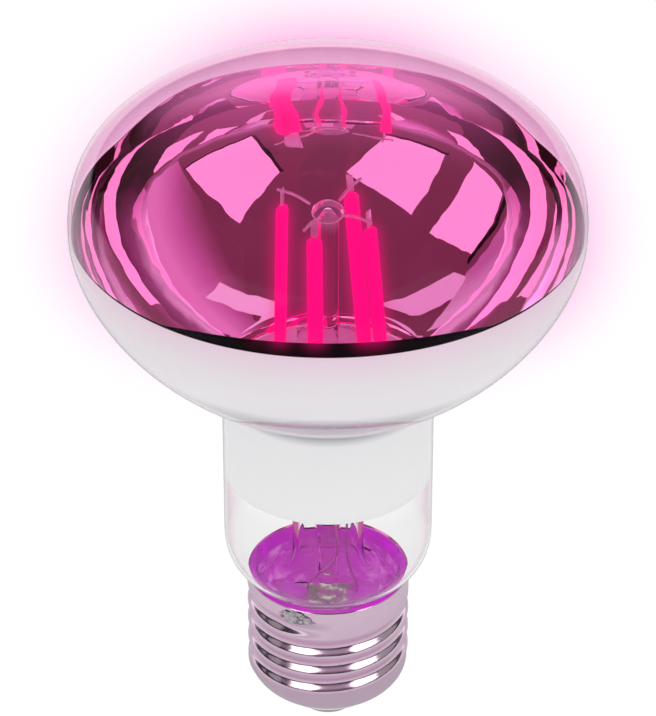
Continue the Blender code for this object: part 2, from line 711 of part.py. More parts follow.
def build_leads(group, finishes, axis):
    face = BOARD_FACE_Y - CLEARANCE - WIRE_RADIUS
    top = PRESS_FOOT_Z - PRESS_LEAD
    waist = (FLARE_TOP_Z + FLARE_FOOT_Z) / 2
    wide = (EXHAUST_RADIUS + FLARE_TUBE_RADIUS - STEM_WALL) / 2
    for number, (tube_azimuth, waist_azimuth, share) in enumerate(LEAD_PATHS, start=1):
        wire(f"lead_in_wire_{number}", (
            polar(tube_azimuth, wide, top),
            polar(tube_azimuth, wide, FLARE_TOP_Z),
            polar(waist_azimuth, wide, waist),
            (share * BOARD_WIDTH, face, BOARD_TOP_Z),
            (share * BOARD_WIDTH, face, BOARD_TOP_Z - LEAD_LAP),
        ), group, finishes["nickel"], axis)

    slot_radius = SEAL_RADIUS + CLEARANCE + WIRE_RADIUS
    low = SEAL_Z - CLEARANCE - 3 * WIRE_RADIUS
    inner = SEAL_RADIUS - 2 * GLASS_WALL
    wide_bend, near_bend = SIDE_LEAD_BENDS
    wire("side_lead", (
        (CLEARANCE + WIRE_RADIUS - BOARD_WIDTH / 2, face, low - BOARD_CHAMFER),
        polar(SIDE_LEAD_AZIMUTH - wide_bend, inner, low - BOARD_CHAMFER / 2),
        polar(SIDE_LEAD_AZIMUTH - near_bend, inner + GLASS_WALL, low),
        polar(SIDE_LEAD_AZIMUTH, slot_radius, SEAL_Z + CLEARANCE),
        polar(SIDE_LEAD_AZIMUTH, slot_radius, CEMENT_TOP_Z - 2 * CLEARANCE),
    ), group, finishes["nickel"], axis)

    shape = bmesh.new()
    bmesh.ops.create_uvsphere(shape, u_segments=WELD_STEPS, v_segments=WELD_STEPS // 2,
                              radius=0.5)
    size = Vector((WELD_THICKNESS, WELD_WIDTH, WELD_HEIGHT))
    bmesh.ops.scale(shape, vec=size, verts=shape.verts)
    distance = CAP_RADIUS + CLEARANCE + WELD_THICKNESS / 2
    for vertex in shape.verts:
        vertex.co.x += math.sqrt(distance ** 2 - vertex.co.y ** 2) - distance
    mesh = bpy.data.meshes.new("side_weld")
    shape.to_mesh(mesh)
    shape.free()
    weld = add_piece("side_weld", mesh, group, finishes["solder"], axis)
    weld.location = polar(SIDE_LEAD_AZIMUTH, distance, CAP_HEIGHT - WELD_DROP)
    weld.rotation_euler = (0.0, 0.0, math.radians(SIDE_LEAD_AZIMUTH))


def make_finishes():
    return {
        "glass": material("clear_glass", (0.95, 0.97, 0.97), 0.05, alpha=0.3),
        "mirror": material("mirror_coat", (0.92, 0.86, 0.90), 0.08, metallic=1.0),
        "stem": material("stem_glass", (0.93, 0.90, 0.93), 0.08, alpha=0.4),
        "filament": material("magenta_filament", (1.0, 0.01, 0.20), 0.5, glow=3.0),
        "nickel": material("nickel_wire", (0.62, 0.57, 0.60), 0.3, metallic=1.0),
        "cap": material("nickel_plated_cap", (0.78, 0.70, 0.76), 0.18, metallic=1.0),
        "insulator": material("pale_insulator", (0.80, 0.80, 0.80), 0.5),
        "brass": material("plated_contact", (0.75, 0.72, 0.68), 0.3, metallic=1.0),
        "cement": material("basing_cement", (0.45, 0.05, 0.42), 0.7),
        "board": material("driver_board", (0.10, 0.30, 0.15), 0.5),
        "resistor": material("fusible_resistor", (0.25, 0.45, 0.55), 0.5),
        "capacitor": material("capacitor_can", (0.05, 0.05, 0.07), 0.4),
        "package": material("black_package", (0.03, 0.03, 0.03), 0.5),
        "solder": material("solder", (0.55, 0.55, 0.57), 0.35, metallic=1.0),
    }


def main():
    clear_scene()
    group = new_collection("grow_light_bulb")
    cutters = new_collection("cutters")
    finishes = make_finishes()
    axis = bpy.data.objects.new("bulb_axis", None)
    group.objects.link(axis)
    build_glass(group, finishes, axis)
    build_stem(group, finishes, axis)
    build_filaments(group, finishes, axis)
    build_cap(group, finishes, axis)
    build_cement(group, cutters, finishes, axis)
    build_driver(group, finishes, axis)
    build_leads(group, finishes, axis)


main()
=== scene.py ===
import math

import bpy
from mathutils import Matrix, Vector, noise


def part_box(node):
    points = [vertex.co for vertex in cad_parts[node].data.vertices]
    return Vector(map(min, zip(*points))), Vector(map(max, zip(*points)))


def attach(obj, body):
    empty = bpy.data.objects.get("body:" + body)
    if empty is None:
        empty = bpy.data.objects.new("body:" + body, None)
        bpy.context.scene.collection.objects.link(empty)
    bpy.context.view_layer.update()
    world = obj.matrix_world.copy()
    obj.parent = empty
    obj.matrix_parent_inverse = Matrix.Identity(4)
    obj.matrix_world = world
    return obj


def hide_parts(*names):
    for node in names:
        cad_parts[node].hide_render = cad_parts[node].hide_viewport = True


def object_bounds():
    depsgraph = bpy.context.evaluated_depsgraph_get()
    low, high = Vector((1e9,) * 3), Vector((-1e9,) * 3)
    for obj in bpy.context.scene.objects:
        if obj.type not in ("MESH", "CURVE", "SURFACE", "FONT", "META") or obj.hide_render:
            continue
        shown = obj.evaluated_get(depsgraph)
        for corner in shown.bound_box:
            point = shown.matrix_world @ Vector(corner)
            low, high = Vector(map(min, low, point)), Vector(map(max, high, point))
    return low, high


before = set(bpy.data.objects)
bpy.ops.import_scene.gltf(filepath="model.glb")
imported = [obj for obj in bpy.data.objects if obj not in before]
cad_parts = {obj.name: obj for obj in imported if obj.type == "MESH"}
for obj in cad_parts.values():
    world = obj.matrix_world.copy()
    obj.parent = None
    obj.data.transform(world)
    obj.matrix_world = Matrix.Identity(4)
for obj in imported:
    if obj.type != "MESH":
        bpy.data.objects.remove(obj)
cadLow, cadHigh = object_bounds()
mm = 0.001
fullTurn = 2 * math.pi
print('frame loaded')


# Shading helpers

class Link:                                     # a socket that takes sums like a number
    def __init__(self, finish, socket):
        self.finish = finish
        self.socket = socket

    def reckon(self, operation, first, second):
        return self.finish.node('ShaderNodeMath', {'operation': operation}, {0: first, 1: second})

    def __add__(self, other):
        return self.reckon('ADD', self, other)

    def __radd__(self, other):
        return self.reckon('ADD', other, self)

    def __sub__(self, other):
        return self.reckon('SUBTRACT', self, other)

    def __rsub__(self, other):
        return self.reckon('SUBTRACT', other, self)

    def __mul__(self, other):
        return self.reckon('MULTIPLY', self, other)

    def __rmul__(self, other):
        return self.reckon('MULTIPLY', other, self)

    def __gt__(self, other):
        return self.reckon('GREATER_THAN', self, other)

    def __abs__(self):
        return self.finish.node('ShaderNodeMath', {'operation': 'ABSOLUTE'}, {0: self})


class Sky:                                      # what materials and the world share
    def __init__(self, tree):
        self.tree = tree

    def node(self, kind, settings=None, sockets=None, output=0):
        made = self.tree.nodes.new(kind)
        for key, value in (settings or {}).items():
            if key == 'stops':
                self.fillRamp(made.color_ramp, value)
            else:
                setattr(made, key, value)
        for key, value in (sockets or {}).items():
            self.feed(made.inputs[key], value)
        return Link(self, made.outputs[output])

    def fillRamp(self, ramp, stops):
        while len(ramp.elements) < len(stops):
            ramp.elements.new(0.5)
        for element, (position, color) in zip(ramp.elements, stops):
            element.position = position
            element.color = color if len(color) == 4 else (*color, 1.0)

    def feed(self, socket, value):
        if isinstance(value, Link):
            self.tree.links.new(value.socket, socket)
        elif isinstance(value, tuple) and len(value) == 3 and socket.type == 'RGBA':
            socket.default_value = (*value, 1.0)
        else:
            socket.default_value = value

    def ramp(self, value, stops):
        return self.node('ShaderNodeValToRGB', {'stops': stops}, {0: value})

    def spread(self, value, low, high, first, last):
        return self.node('ShaderNodeMapRange', {}, {0: value, 1: low, 2: high, 3: first, 4: last})

    def mix(self, factor, first, second):
        return self.node('ShaderNodeMix', {'data_type': 'RGBA'}, {0: factor, 6: first, 7: second}, 2)

    def light(self, fact):
        return self.node('ShaderNodeLightPath', output=fact)

    def insideBowl(self):                       # 1 for light that the mirror behind the glass sent
        return (self.light('Transmission Depth') > 3.5) * (self.light('Glossy Depth') > 0.5)


class Finish(Sky):                              # a material with one Principled shader
    def __init__(self, name, **looks):
        self.material = bpy.data.materials.new(name)
        self.material.use_nodes = True
        super().__init__(self.material.node_tree)
        self.shader = self.tree.nodes['Principled BSDF']
        for socket, value in looks.items():
            self.shader.inputs[socket.replace('_', ' ')].default_value = value
        self.place = self.node('ShaderNodeTexCoord', output='Object')

    def paint(self, **sockets):
        for name, value in sockets.items():
            self.feed(self.shader.inputs[name.replace('_', ' ')], value)

    def noise(self, scale, detail=3.0, roughness=0.5, stretch=None):
        place = self.place
        if stretch:
            place = self.node('ShaderNodeMapping', {}, {'Vector': place, 'Scale': stretch})
        return self.node('ShaderNodeTexNoise', {}, {
            'Vector': place, 'Scale': scale, 'Detail': detail, 'Roughness': roughness})

    def along(self, axis):
        return self.node('ShaderNodeSeparateXYZ', {}, {0: self.place}, axis)

    def bump(self, value, depth, strength=1.0):
        relief = self.node('ShaderNodeBump', {}, {
            'Height': value, 'Distance': depth, 'Strength': strength})
        self.paint(Normal=relief)

    def clearWhere(self, fact, tint=(1.0, 1.0, 1.0)):
        clear = self.node('ShaderNodeBsdfTransparent', {}, {'Color': tint})
        both = self.node('ShaderNodeMixShader', {}, {
            0: fact, 1: Link(self, self.shader.outputs[0]), 2: clear})
        self.feed(self.tree.nodes['Material Output'].inputs['Surface'], both)

    def letLightThrough(self):                  # shadows pass, so that the inside is lit
        self.clearWhere(self.light('Is Shadow Ray'), (0.93, 0.92, 0.93))

    def onlyDeep(self):                         # seen only by light that met the mirror twice
        self.clearWhere(1.0 - (self.light('Glossy Depth') > 1.5))


# Modelling helpers

def edit(kind='VERT'):
    bpy.ops.object.mode_set(mode='EDIT')
    bpy.ops.mesh.select_mode(type=kind)
    bpy.ops.mesh.select_all(action='SELECT')


def leaveEdit():
    bpy.ops.object.mode_set(mode='OBJECT')


def started(name):
    piece = bpy.context.object
    piece.name = name
    piece.data.name = name
    return piece


def nothingSelected():
    bpy.ops.object.select_all(action='DESELECT')


def turn(name, line, steps):                    # a line of (radius, height), spun round the axis
    nothingSelected()
    bpy.ops.mesh.primitive_plane_add(size=mm, location=(0, 0, 0))
    piece = started(name)
    edit()
    bpy.ops.mesh.merge(type='CENTER')
    bpy.ops.transform.translate(value=(line[0][0], 0, line[0][1]))
    for (r0, z0), (r1, z1) in zip(line, line[1:]):
        bpy.ops.mesh.extrude_region_move(TRANSFORM_OT_translate={'value': (r1 - r0, 0, z1 - z0)})
    bpy.ops.mesh.select_all(action='SELECT')
    bpy.ops.mesh.spin(steps=steps, angle=fullTurn, center=(0, 0, 0), axis=(0, 0, 1))
    bpy.ops.mesh.select_all(action='SELECT')
    bpy.ops.mesh.remove_doubles(threshold=0.002 * mm)
    bpy.ops.mesh.normals_make_consistent(inside=False)
    leaveEdit()
    return piece


def alter(piece, kind, **settings):             # a modifier, set and applied
    nothingSelected()
    piece.select_set(True)
    bpy.context.view_layer.objects.active = piece
    change = piece.modifiers.new(kind.title(), kind)
    for key, value in settings.items():
        setattr(change, key, value)
    bpy.ops.object.modifier_apply(modifier=change.name)


def smooth(piece, angle=40):
    nothingSelected()
    piece.select_set(True)
    bpy.context.view_layer.objects.active = piece
    bpy.ops.object.shade_smooth_by_angle(angle=math.radians(angle))


def walled(piece, wall, **settings):
    alter(piece, 'SOLIDIFY', thickness=wall, offset=-1, use_even_offset=True, **settings)


def cube(name, size, edge=0.0, segments=3):
    nothingSelected()
    bpy.ops.mesh.primitive_cube_add(size=1, location=(0, 0, 0))
    piece = started(name)
    edit()
    bpy.ops.transform.resize(value=size)
    leaveEdit()
    if edge:
        alter(piece, 'BEVEL', width=edge, segments=segments, limit_method='NONE')
    return piece


def wire(name, points, radius, bend='AUTO'):
    nothingSelected()
    bpy.ops.curve.primitive_bezier_curve_add(location=(0, 0, 0))
    piece = started(name)
    piece.data.resolution_u = 10
    piece.data.bevel_depth = radius
    piece.data.bevel_resolution = 3
    piece.data.use_fill_caps = True
    run = piece.data.splines[0]
    run.bezier_points.add(len(points) - 2)
    for knot, place in zip(run.bezier_points, points):
        knot.co = place
        knot.handle_left_type = bend
        knot.handle_right_type = bend
    bpy.ops.object.convert(target='MESH')
    piece = started(name)
    edit()
    bpy.ops.mesh.remove_doubles(threshold=0.002 * mm)
    bpy.ops.mesh.normals_make_consistent(inside=False)
    leaveEdit()
    smooth(piece, 50)
    return piece


def put(piece, matrix):
    piece.data.transform(matrix)
    return piece


def finished(piece, slotName, nodes, *finishes):
    for finish in finishes:
        piece.data.materials.append(finish.material)
    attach(piece, 'root')
    if nodes:
        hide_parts(*nodes)
    return piece


def polar(azimuth, radius, z):                  # azimuth in degrees from +X towards +Y
    angle = math.radians(azimuth)
    return Vector((radius * math.cos(angle), radius * math.sin(angle), z))


# Glass bulb

glass = {
    'radius': cadHigh.x, 'top': cadHigh.z,
    'domeRise': 20.7 * mm, 'domePower': 2.67,
    'bowlDepth': 32.5 * mm, 'bowlPower': 1.66,
    'neck': 16.8 * mm, 'neckFillet': 2 * mm,
    'shoulderTop': 35 * mm, 'shoulderHeight': 7.4 * mm,
    'shoulderInset': 5.9 * mm, 'shoulderEnd': 12.6 * mm,
    'seal': 11.9 * mm, 'sealTop': 26.8 * mm, 'sealFoot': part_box('glass_envelope')[0].z,
    'wall': 0.45 * mm, 'steps': 128,
    'clearFrom': 49 * mm, 'clearTo': 44 * mm,   # below these heights the glass looks greyer
    'glowFrom': 93.6 * mm, 'glowTo': 95.2 * mm, 'glow': (0.97, 0.68, 0.86),     # painted pink glow of the lamp's light in the dome glass
}
equator = glass['top'] - glass['domeRise']


def superellipse(angle, radius, rise, power):
    across = max(math.cos(angle), 0.0) ** (2 / power)
    up = max(math.sin(angle), 0.0) ** (2 / power)
    return radius * across, rise * up


def domeLine(rows):
    line = []
    for row in range(rows + 1):
        angle = math.pi / 2 * (1 - row / rows) ** 1.4
        r, rise = superellipse(angle, glass['radius'], glass['domeRise'], glass['domePower'])
        line.append((r if row else 0.0, equator + rise))
    return line


def bowlLine(rows):
    joinAngle = math.acos((glass['neck'] / glass['radius']) ** (glass['bowlPower'] / 2))
    line = []
    for row in range(1, rows + 1):
        r, drop = superellipse(joinAngle * row / rows, glass['radius'], glass['bowlDepth'],
                               glass['bowlPower'])
        line.append((r, equator - drop))
    return rounded(line, glass['neckFillet'], 6)


def rounded(line, radius, rows):                # the corner into the straight neck as an arc
    corner = Vector(line[-1])
    back = (Vector(line[-2]) - corner).normalized()
    ahead = Vector((0, -1))
    half = back.angle(ahead) / 2
    reach = radius / math.tan(half)
    while (Vector(line[-1]) - corner).length < reach:
        line = line[:-1]
    centre = corner + (back + ahead).normalized() * (radius / math.sin(half))
    start = corner + back * reach - centre
    finish = corner + ahead * reach - centre
    for row in range(rows + 1):
        line.append(tuple(centre + start.lerp(finish, row / rows).normalized() * radius))
    return line


def inset(line, distance):
    moved = []
    for index, (r, z) in enumerate(line):
        before = Vector(line[max(index - 1, 0)])
        after = Vector(line[min(index + 1, len(line) - 1)])
        run = (after - before).normalized()
        moved.append((max(r + run.y * distance, 0.0), z - run.x * distance))
    return moved


def shoulderLine(rows):
    endAngle = math.acos(1 - (glass['neck'] - glass['shoulderEnd']) / glass['shoulderInset'])
    line = []
    for row in range(rows + 1):
        angle = endAngle * row / rows
        r = glass['neck'] - glass['shoulderInset'] * (1 - math.cos(angle))
        line.append((r, glass['shoulderTop'] - glass['shoulderHeight'] * math.sin(angle)))
    return line + [(glass['seal'], glass['sealTop']), (glass['seal'], glass['sealFoot'])]


def makeGlass():
    finish = Finish('bulbGlass', Roughness=0.0, IOR=1.27, Transmission_Weight=1.0,
                    Specular_Tint=(0.2, 0.2, 0.2, 1))
    ripple = finish.noise(55, 2)
    top = finish.mix(ripple, (0.985, 0.985, 0.985), (0.96, 0.955, 0.96))
    neck = finish.mix(ripple, (0.925, 0.925, 0.925), (0.905, 0.91, 0.91))
    height = finish.along('Z')
    clear = finish.mix(finish.spread(height, glass['clearTo'], glass['clearFrom'], 0, 1), neck, top)
    # painted pink glow of the lamp's light: the glass turns pink from glowFrom up to glowTo and stays
    # so above
    glowing = finish.spread(height, glass['glowFrom'], glass['glowTo'], 0, 1)
    finish.paint(Base_Color=finish.mix(glowing, clear, glass['glow']))
    finish.bump(ripple, 0.04 * mm, 0.1)
    finish.letLightThrough()
    line = domeLine(36) + bowlLine(40) + shoulderLine(14)
    piece = turn('bulbGlass', line, glass['steps'])
    walled(piece, glass['wall'])
    smooth(piece)
    finished(piece, 'clear_glass', ['glass_envelope'], finish)


# Mirror coat

coat = {
    'thickness': 0.15 * mm, 'gap': 0.04 * mm, 'foot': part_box('reflector_coating')[0].z,
    'rimRise': 1.7 * mm, 'sideRise': 0.9 * mm, 'backRise': 4.5 * mm, 'climb': (0.5, 0.9),
    'tint': (1.0, 0.97, 0.985), 'dimTint': (0.98, 0.94, 0.965), 'waveDepth': 0.12 * mm,
    # painted shade: a near-black sheet on the glass above the film's rim draws a dark band; it swells
    # at the front and is tucked away at the back
    'edgeSheet': 0.1 * mm, 'edgeLift': 0.02 * mm, 'edgeSide': 0.03 * mm,
    'edgeFloor': 0.2 * mm, 'edgeEnds': (0.35, 0.7),
    'edgeRise': 2.1 * mm, 'edgeSpread': 0.8, 'edgeSwell': 0.7,
    'tuck': 0.4 * mm, 'tuckSpan': (0.0, 0.3),
    # painted pink glow of the lamp's light on the inside of the mirror: its height, how far back it
    # starts and how far aside it ends
    'paintedGlowRise': (84 * mm, 95.5 * mm), 'paintedGlowBack': (12 * mm, 30 * mm),
    'paintedGlowAside': (14 * mm, 31 * mm),
    'paintedGlow': ((0.0, (0, 0, 0)), (0.45, (0.17, 0.028, 0.10)), (0.75, (0.30, 0.06, 0.19)),
             (1.0, (0.64, 0.25, 0.48))),
    'paintedReflectionSpan': (46 * mm, 96 * mm),            # painted reflections and shade on the silver, from the neck up to the rim
    'paintedReflections': ((0.0, (0.69, 0.695, 0.70)), (0.315, (0.66, 0.665, 0.67)), (0.34, (0.36, 0.38, 0.40)),
               (0.37, (0.07, 0.08, 0.09)), (0.52, (0.06, 0.05, 0.07)), (0.59, (0.22, 0.20, 0.22)),
               (0.67, (0.64, 0.64, 0.65)), (0.85, (0.63, 0.625, 0.63)), (1.0, (0.64, 0.50, 0.585))),
}


def eased(value, start, end):
    share = min(max((value - start) / (end - start), 0.0), 1.0)
    return share * share * (3 - 2 * share)


def rimHeight(backward):                        # the coat's rim climbs towards the back
    side = coat['sideRise'] * eased(backward, 0.0, 0.5)
    return equator + coat['rimRise'] + side + coat['backRise'] * eased(backward, *coat['climb'])


def moveTo(vertex, line, z):                    # a vertex slides along the glass to a height
    (r0, z0), (r1, z1) = next(pair for pair in zip(line, line[1:]) if pair[1][1] <= z)
    radius = r0 + (r1 - r0) * (z0 - z) / (z0 - z1)
    place = vertex.co
    scale = radius / math.hypot(place.x, place.y)
    vertex.co = (place.x * scale, place.y * scale, z)


def cutLine(line, top, foot):                   # the stretch of a falling line between two heights
    kept = []
    for (r0, z0), (r1, z1) in zip(line, line[1:]):
        for level in (top, foot):
            if z1 < level < z0:
                kept.append((r0 + (r1 - r0) * (z0 - level) / (z0 - z1), level))
        if foot < z1 < top:
            kept.append((r1, z1))
    return kept


def coatLine(top, foot, distance):
    line = domeLine(60) + bowlLine(90) + [(glass['neck'], glass['shoulderTop'])]
    return cutLine(inset(line, distance), top, foot)


def makeCoat():
    inside = Finish('mirrorInside', Metallic=1.0, Roughness=0.015, Emission_Strength=1.0)
    cloud = inside.noise(18, 3)
    inside.paint(Base_Color=inside.mix(cloud, coat['tint'], coat['dimTint']))
    waves = inside.noise(32, 1.5) * 2.5 + inside.noise(120, 2) * 1.3
    inside.bump(waves, coat['waveDepth'], 0.5)
    # painted glow: the mirror's emission stands in for the lamp's light on it, strongest high up, at
    # the back and in the middle
    paintedGlow = inside.ramp(inside.spread(inside.along('Z'), *coat['paintedGlowRise'], 0, 1), coat['paintedGlow'])
    back = inside.spread(inside.along('Y'), *coat['paintedGlowBack'], 0, 1)
    across = inside.along('X')
    near, far = coat['paintedGlowAside']
    middle = inside.spread(across * across, near ** 2, far ** 2, 1, 0)
    inside.paint(Emission_Color=inside.mix(back * middle, (0, 0, 0), paintedGlow))

    outside = Finish('mirrorOutside', Specular_IOR_Level=0.0, Emission_Strength=1.0)
    grain = outside.noise(70, 4)
    # painted reflections and shade: the emission is pale where the silver mirrors the room, dark in a
    # band low on the bowl above the neck, and pink by the rim
    outside.paint(
        Base_Color=outside.mix(grain, (0.22, 0.22, 0.22), (0.19, 0.19, 0.195)),
        Roughness=outside.spread(grain, 0.3, 0.7, 0.35, 0.5),
        Emission_Color=outside.ramp(
            outside.spread(outside.along('Z'), *coat['paintedReflectionSpan'], 0.0, 1.0), coat['paintedReflections']))

    # painted shade: the near-black sheet of the film edge, with a faint grain
    edge = Finish('paintedShadeBand', Roughness=0.5, Specular_IOR_Level=0.0)
    shadeGrain = edge.noise(90, 3)
    edge.paint(Base_Color=edge.mix(shadeGrain, (0.0005, 0.0003, 0.0005), (0.002, 0.0006, 0.0015)))

    distance = glass['wall'] + coat['gap']
    line = coatLine(glass['top'] - 2 * mm, coat['foot'], distance)
    rim = rimHeight(-1)
    piece = turn('mirrorCoat', coatLine(rim, coat['foot'], distance), 160)
    for vertex in piece.data.vertices:
        place = vertex.co
        if place.z > equator:
            share = (place.z - equator) / (rim - equator)
            top = rimHeight(place.y / math.hypot(place.x, place.y))
            moveTo(vertex, line, equator + (top - equator) * share)
    for finish in (outside, inside):
        piece.data.materials.append(finish.material)
    walled(piece, coat['thickness'], material_offset=1, material_offset_rim=1)
    smooth(piece)
    finished(piece, 'mirror_coat', ['reflector_coating'])

    lift, spread = coat['edgeLift'], coat['edgeSpread']
    piece = turn('paintedShadeBand', coatLine(rim + coat['edgeRise'], rim + lift, distance), 160)
    for vertex in piece.data.vertices:
        place = vertex.co
        backward = place.y / math.hypot(place.x, place.y)
        swell = max((-backward - spread) / (1 - spread), 0.0) ** coat['edgeSwell']
        ends = eased(-backward, *coat['edgeEnds'])
        rise = coat['edgeSide'] + coat['edgeFloor'] * ends + coat['edgeRise'] * swell
        share = (place.z - rim) / coat['edgeRise']
        tucked = coat['tuck'] * eased(backward, *coat['tuckSpan'])
        moveTo(vertex, line, rimHeight(backward) + lift - tucked + (rise - tucked / 4) * share)
    alter(piece, 'SOLIDIFY', thickness=coat['edgeSheet'], offset=-1)
    smooth(piece)
    finished(piece, 'mirror_coat', [], edge)


# Stem

stem = {
    'buttonZ': 94.4 * mm, 'button': 2.55 * mm, 'buttonHalf': 1.6 * mm, 'rod': 1.7 * mm,
    'press': 5.6 * mm, 'flatness': 0.42, 'pressTop': 53.9 * mm, 'pressFoot': 45.9 * mm,
    'tube': 5.75 * mm, 'flareTop': 31.3 * mm, 'flareFoot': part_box('glass_stem')[0].z,
    'flare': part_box('glass_stem')[1].x, 'flareRise': 7.5 * mm, 'wall': 0.85 * mm,
    'exhaust': 2 * mm, 'exhaustWall': 0.6 * mm, 'litRise': (91 * mm, 92.6 * mm),
}
stem['lead'] = (stem['pressTop'] - stem['pressFoot']) / 4


def squeeze(z):
    lead = stem['lead']
    up = min(max((z - (stem['pressFoot'] - lead)) / lead, 0.0), 1.0)
    down = min(max((stem['pressTop'] + lead / 2 - z) / (lead / 2), 0.0), 1.0)
    share = min(up, down)
    return share * share * (3 - 2 * share)


def stemLine():
    lead, top, foot = stem['lead'], stem['pressTop'], stem['pressFoot']
    endAngle = math.acos(stem['rod'] / stem['button'])
    line = [(0.0, stem['buttonZ'] + stem['buttonHalf'])]
    for row in range(1, 9):
        angle = math.pi / 2 - (math.pi / 2 + endAngle) * row / 8
        line.append((stem['button'] * math.cos(angle),
                     stem['buttonZ'] + stem['buttonHalf'] * math.sin(angle)))
    rodTop = stem['buttonZ'] - stem['buttonHalf'] - 0.5 * mm
    for row in range(9):                        # the rod runs down to the press
        line.append((stem['rod'], rodTop + (top + lead / 2 - rodTop) * row / 8))
    line += [(stem['press'] - stem['wall'], top), (stem['press'], top - stem['wall'])]
    line += [(stem['press'], foot + (top - foot) / 2), (stem['press'], foot)]
    line += [(stem['tube'], foot - lead / 2), (stem['tube'], foot - lead)]
    flare = []
    for row in range(11):
        angle = math.pi / 2 * row / 10
        r = stem['tube'] + (stem['flare'] - stem['tube']) * (1 - math.cos(angle))
        flare.append((r, stem['flareTop'] - (stem['flareRise'] - stem['wall']) * math.sin(angle)))
    line += flare + [(stem['flare'], stem['flareFoot'])]
    for r, z in reversed(flare[:-1]):
        line.append((r - stem['wall'], z - stem['wall'] * (r - stem['tube']) / stem['tube']))
    bore = stem['tube'] - stem['wall']
    line += [(bore, foot - 2 * lead), (bore * 0.85, foot - lead / 2), (bore * 0.55, foot)]
    return line + [(0.0, foot + 0.3 * mm)]


def makeStem():
    finish = Finish('stemGlass', Roughness=0.0, IOR=1.42, Transmission_Weight=1.0,
                    Emission_Strength=1.0)
    calm = Finish('flareGlass', Roughness=0.0, IOR=1.2, Transmission_Weight=1.0)
    streak = calm.noise(160, 2, stretch=(1, 1, 0.2))
    calm.paint(Base_Color=calm.mix(streak, (0.99, 0.97, 0.98), (0.97, 0.93, 0.95)))
    calm.bump(streak, 0.08 * mm, 0.4)
    calm.letLightThrough()
    swirl = finish.noise(160, 2, stretch=(1, 1, 0.2))
    finish.paint(Base_Color=finish.mix(swirl, (0.99, 0.96, 0.98), (0.97, 0.91, 0.95)))
    finish.bump(swirl, 0.14 * mm, 0.6)
    lit = finish.spread(finish.along('Z'), *stem['litRise'], 0, 1)
    glint = finish.mix(swirl, (0.01, 0.002, 0.006), (0.16, 0.06, 0.12))
    finish.paint(Emission_Color=finish.mix(lit, (0, 0, 0), glint))
    finish.letLightThrough()

    piece = turn('glassStem', stemLine(), 48)
    for vertex in piece.data.vertices:
        vertex.co.y *= 1 - squeeze(vertex.co.z) * (1 - stem['flatness'])
    smooth(piece)
    for polygon in piece.data.polygons:
        polygon.material_index = int(polygon.center.z < stem['pressFoot'])
    finished(piece, 'stem_glass', ['glass_stem'], finish, calm)

    low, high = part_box('exhaust_tube')
    bore = stem['exhaust'] - stem['exhaustWall']
    shoulder = low.z + stem['exhaust']
    line = [(bore, high.z), (stem['exhaust'], high.z), (stem['exhaust'], shoulder)]
    for row in range(1, 6):
        angle = math.pi / 2 * row / 5
        line.append((stem['exhaust'] * math.cos(angle) * (row < 5),
                     shoulder - stem['exhaust'] * math.sin(angle)))
    line += [(0.0, shoulder), (bore * 0.8, shoulder + 0.4 * mm), (bore, shoulder + mm), (bore, high.z)]
    piece = turn('exhaustTube', line, 32)
    smooth(piece)
    finished(piece, 'stem_glass', ['exhaust_tube'], calm)


# Filament cage

cage = {
    'seats': ((160, 158, 1.12), (254, 258, 1.17), (62, 39, 1.12), (328, 337, 1.37)),
    'radius': 7.5 * mm, 'topZ': 93.9 * mm, 'footZ': 57.9 * mm,
    'width': 2.4 * mm, 'thickness': 1.6 * mm, 'edge': 0.7 * mm,
    'tabLength': 2.8 * mm, 'tabWidth': 1.1 * mm, 'tabSheet': 0.3 * mm, 'tie': 0.6,
    'gap': 0.3 * mm, 'wireRadius': 0.25 * mm, 'overhang': 1.3 * mm, 'anchorBend': 0.6,
    'exitReach': 3.4 * mm, 'exitSpread': 0.8 * mm, 'exitRise': mm,
    'glow': (1.03, 0.003, 0.235),
}


def seatFrame(topAzimuth, footAzimuth, spread):
    head = polar(topAzimuth, cage['radius'], cage['topZ'])
    foot = polar(footAzimuth, cage['radius'] * spread, cage['footZ'])
    along = (head - foot).normalized()
    outward = polar(topAzimuth, 1, 0)
    outward = (outward - along * outward.dot(along)).normalized()
    return foot, head, along, outward, outward.cross(along)


def frameMatrix(sideways, outward, along, place):
    turned = Matrix((sideways, outward, along)).transposed().to_4x4()
    return Matrix.Translation(place) @ turned


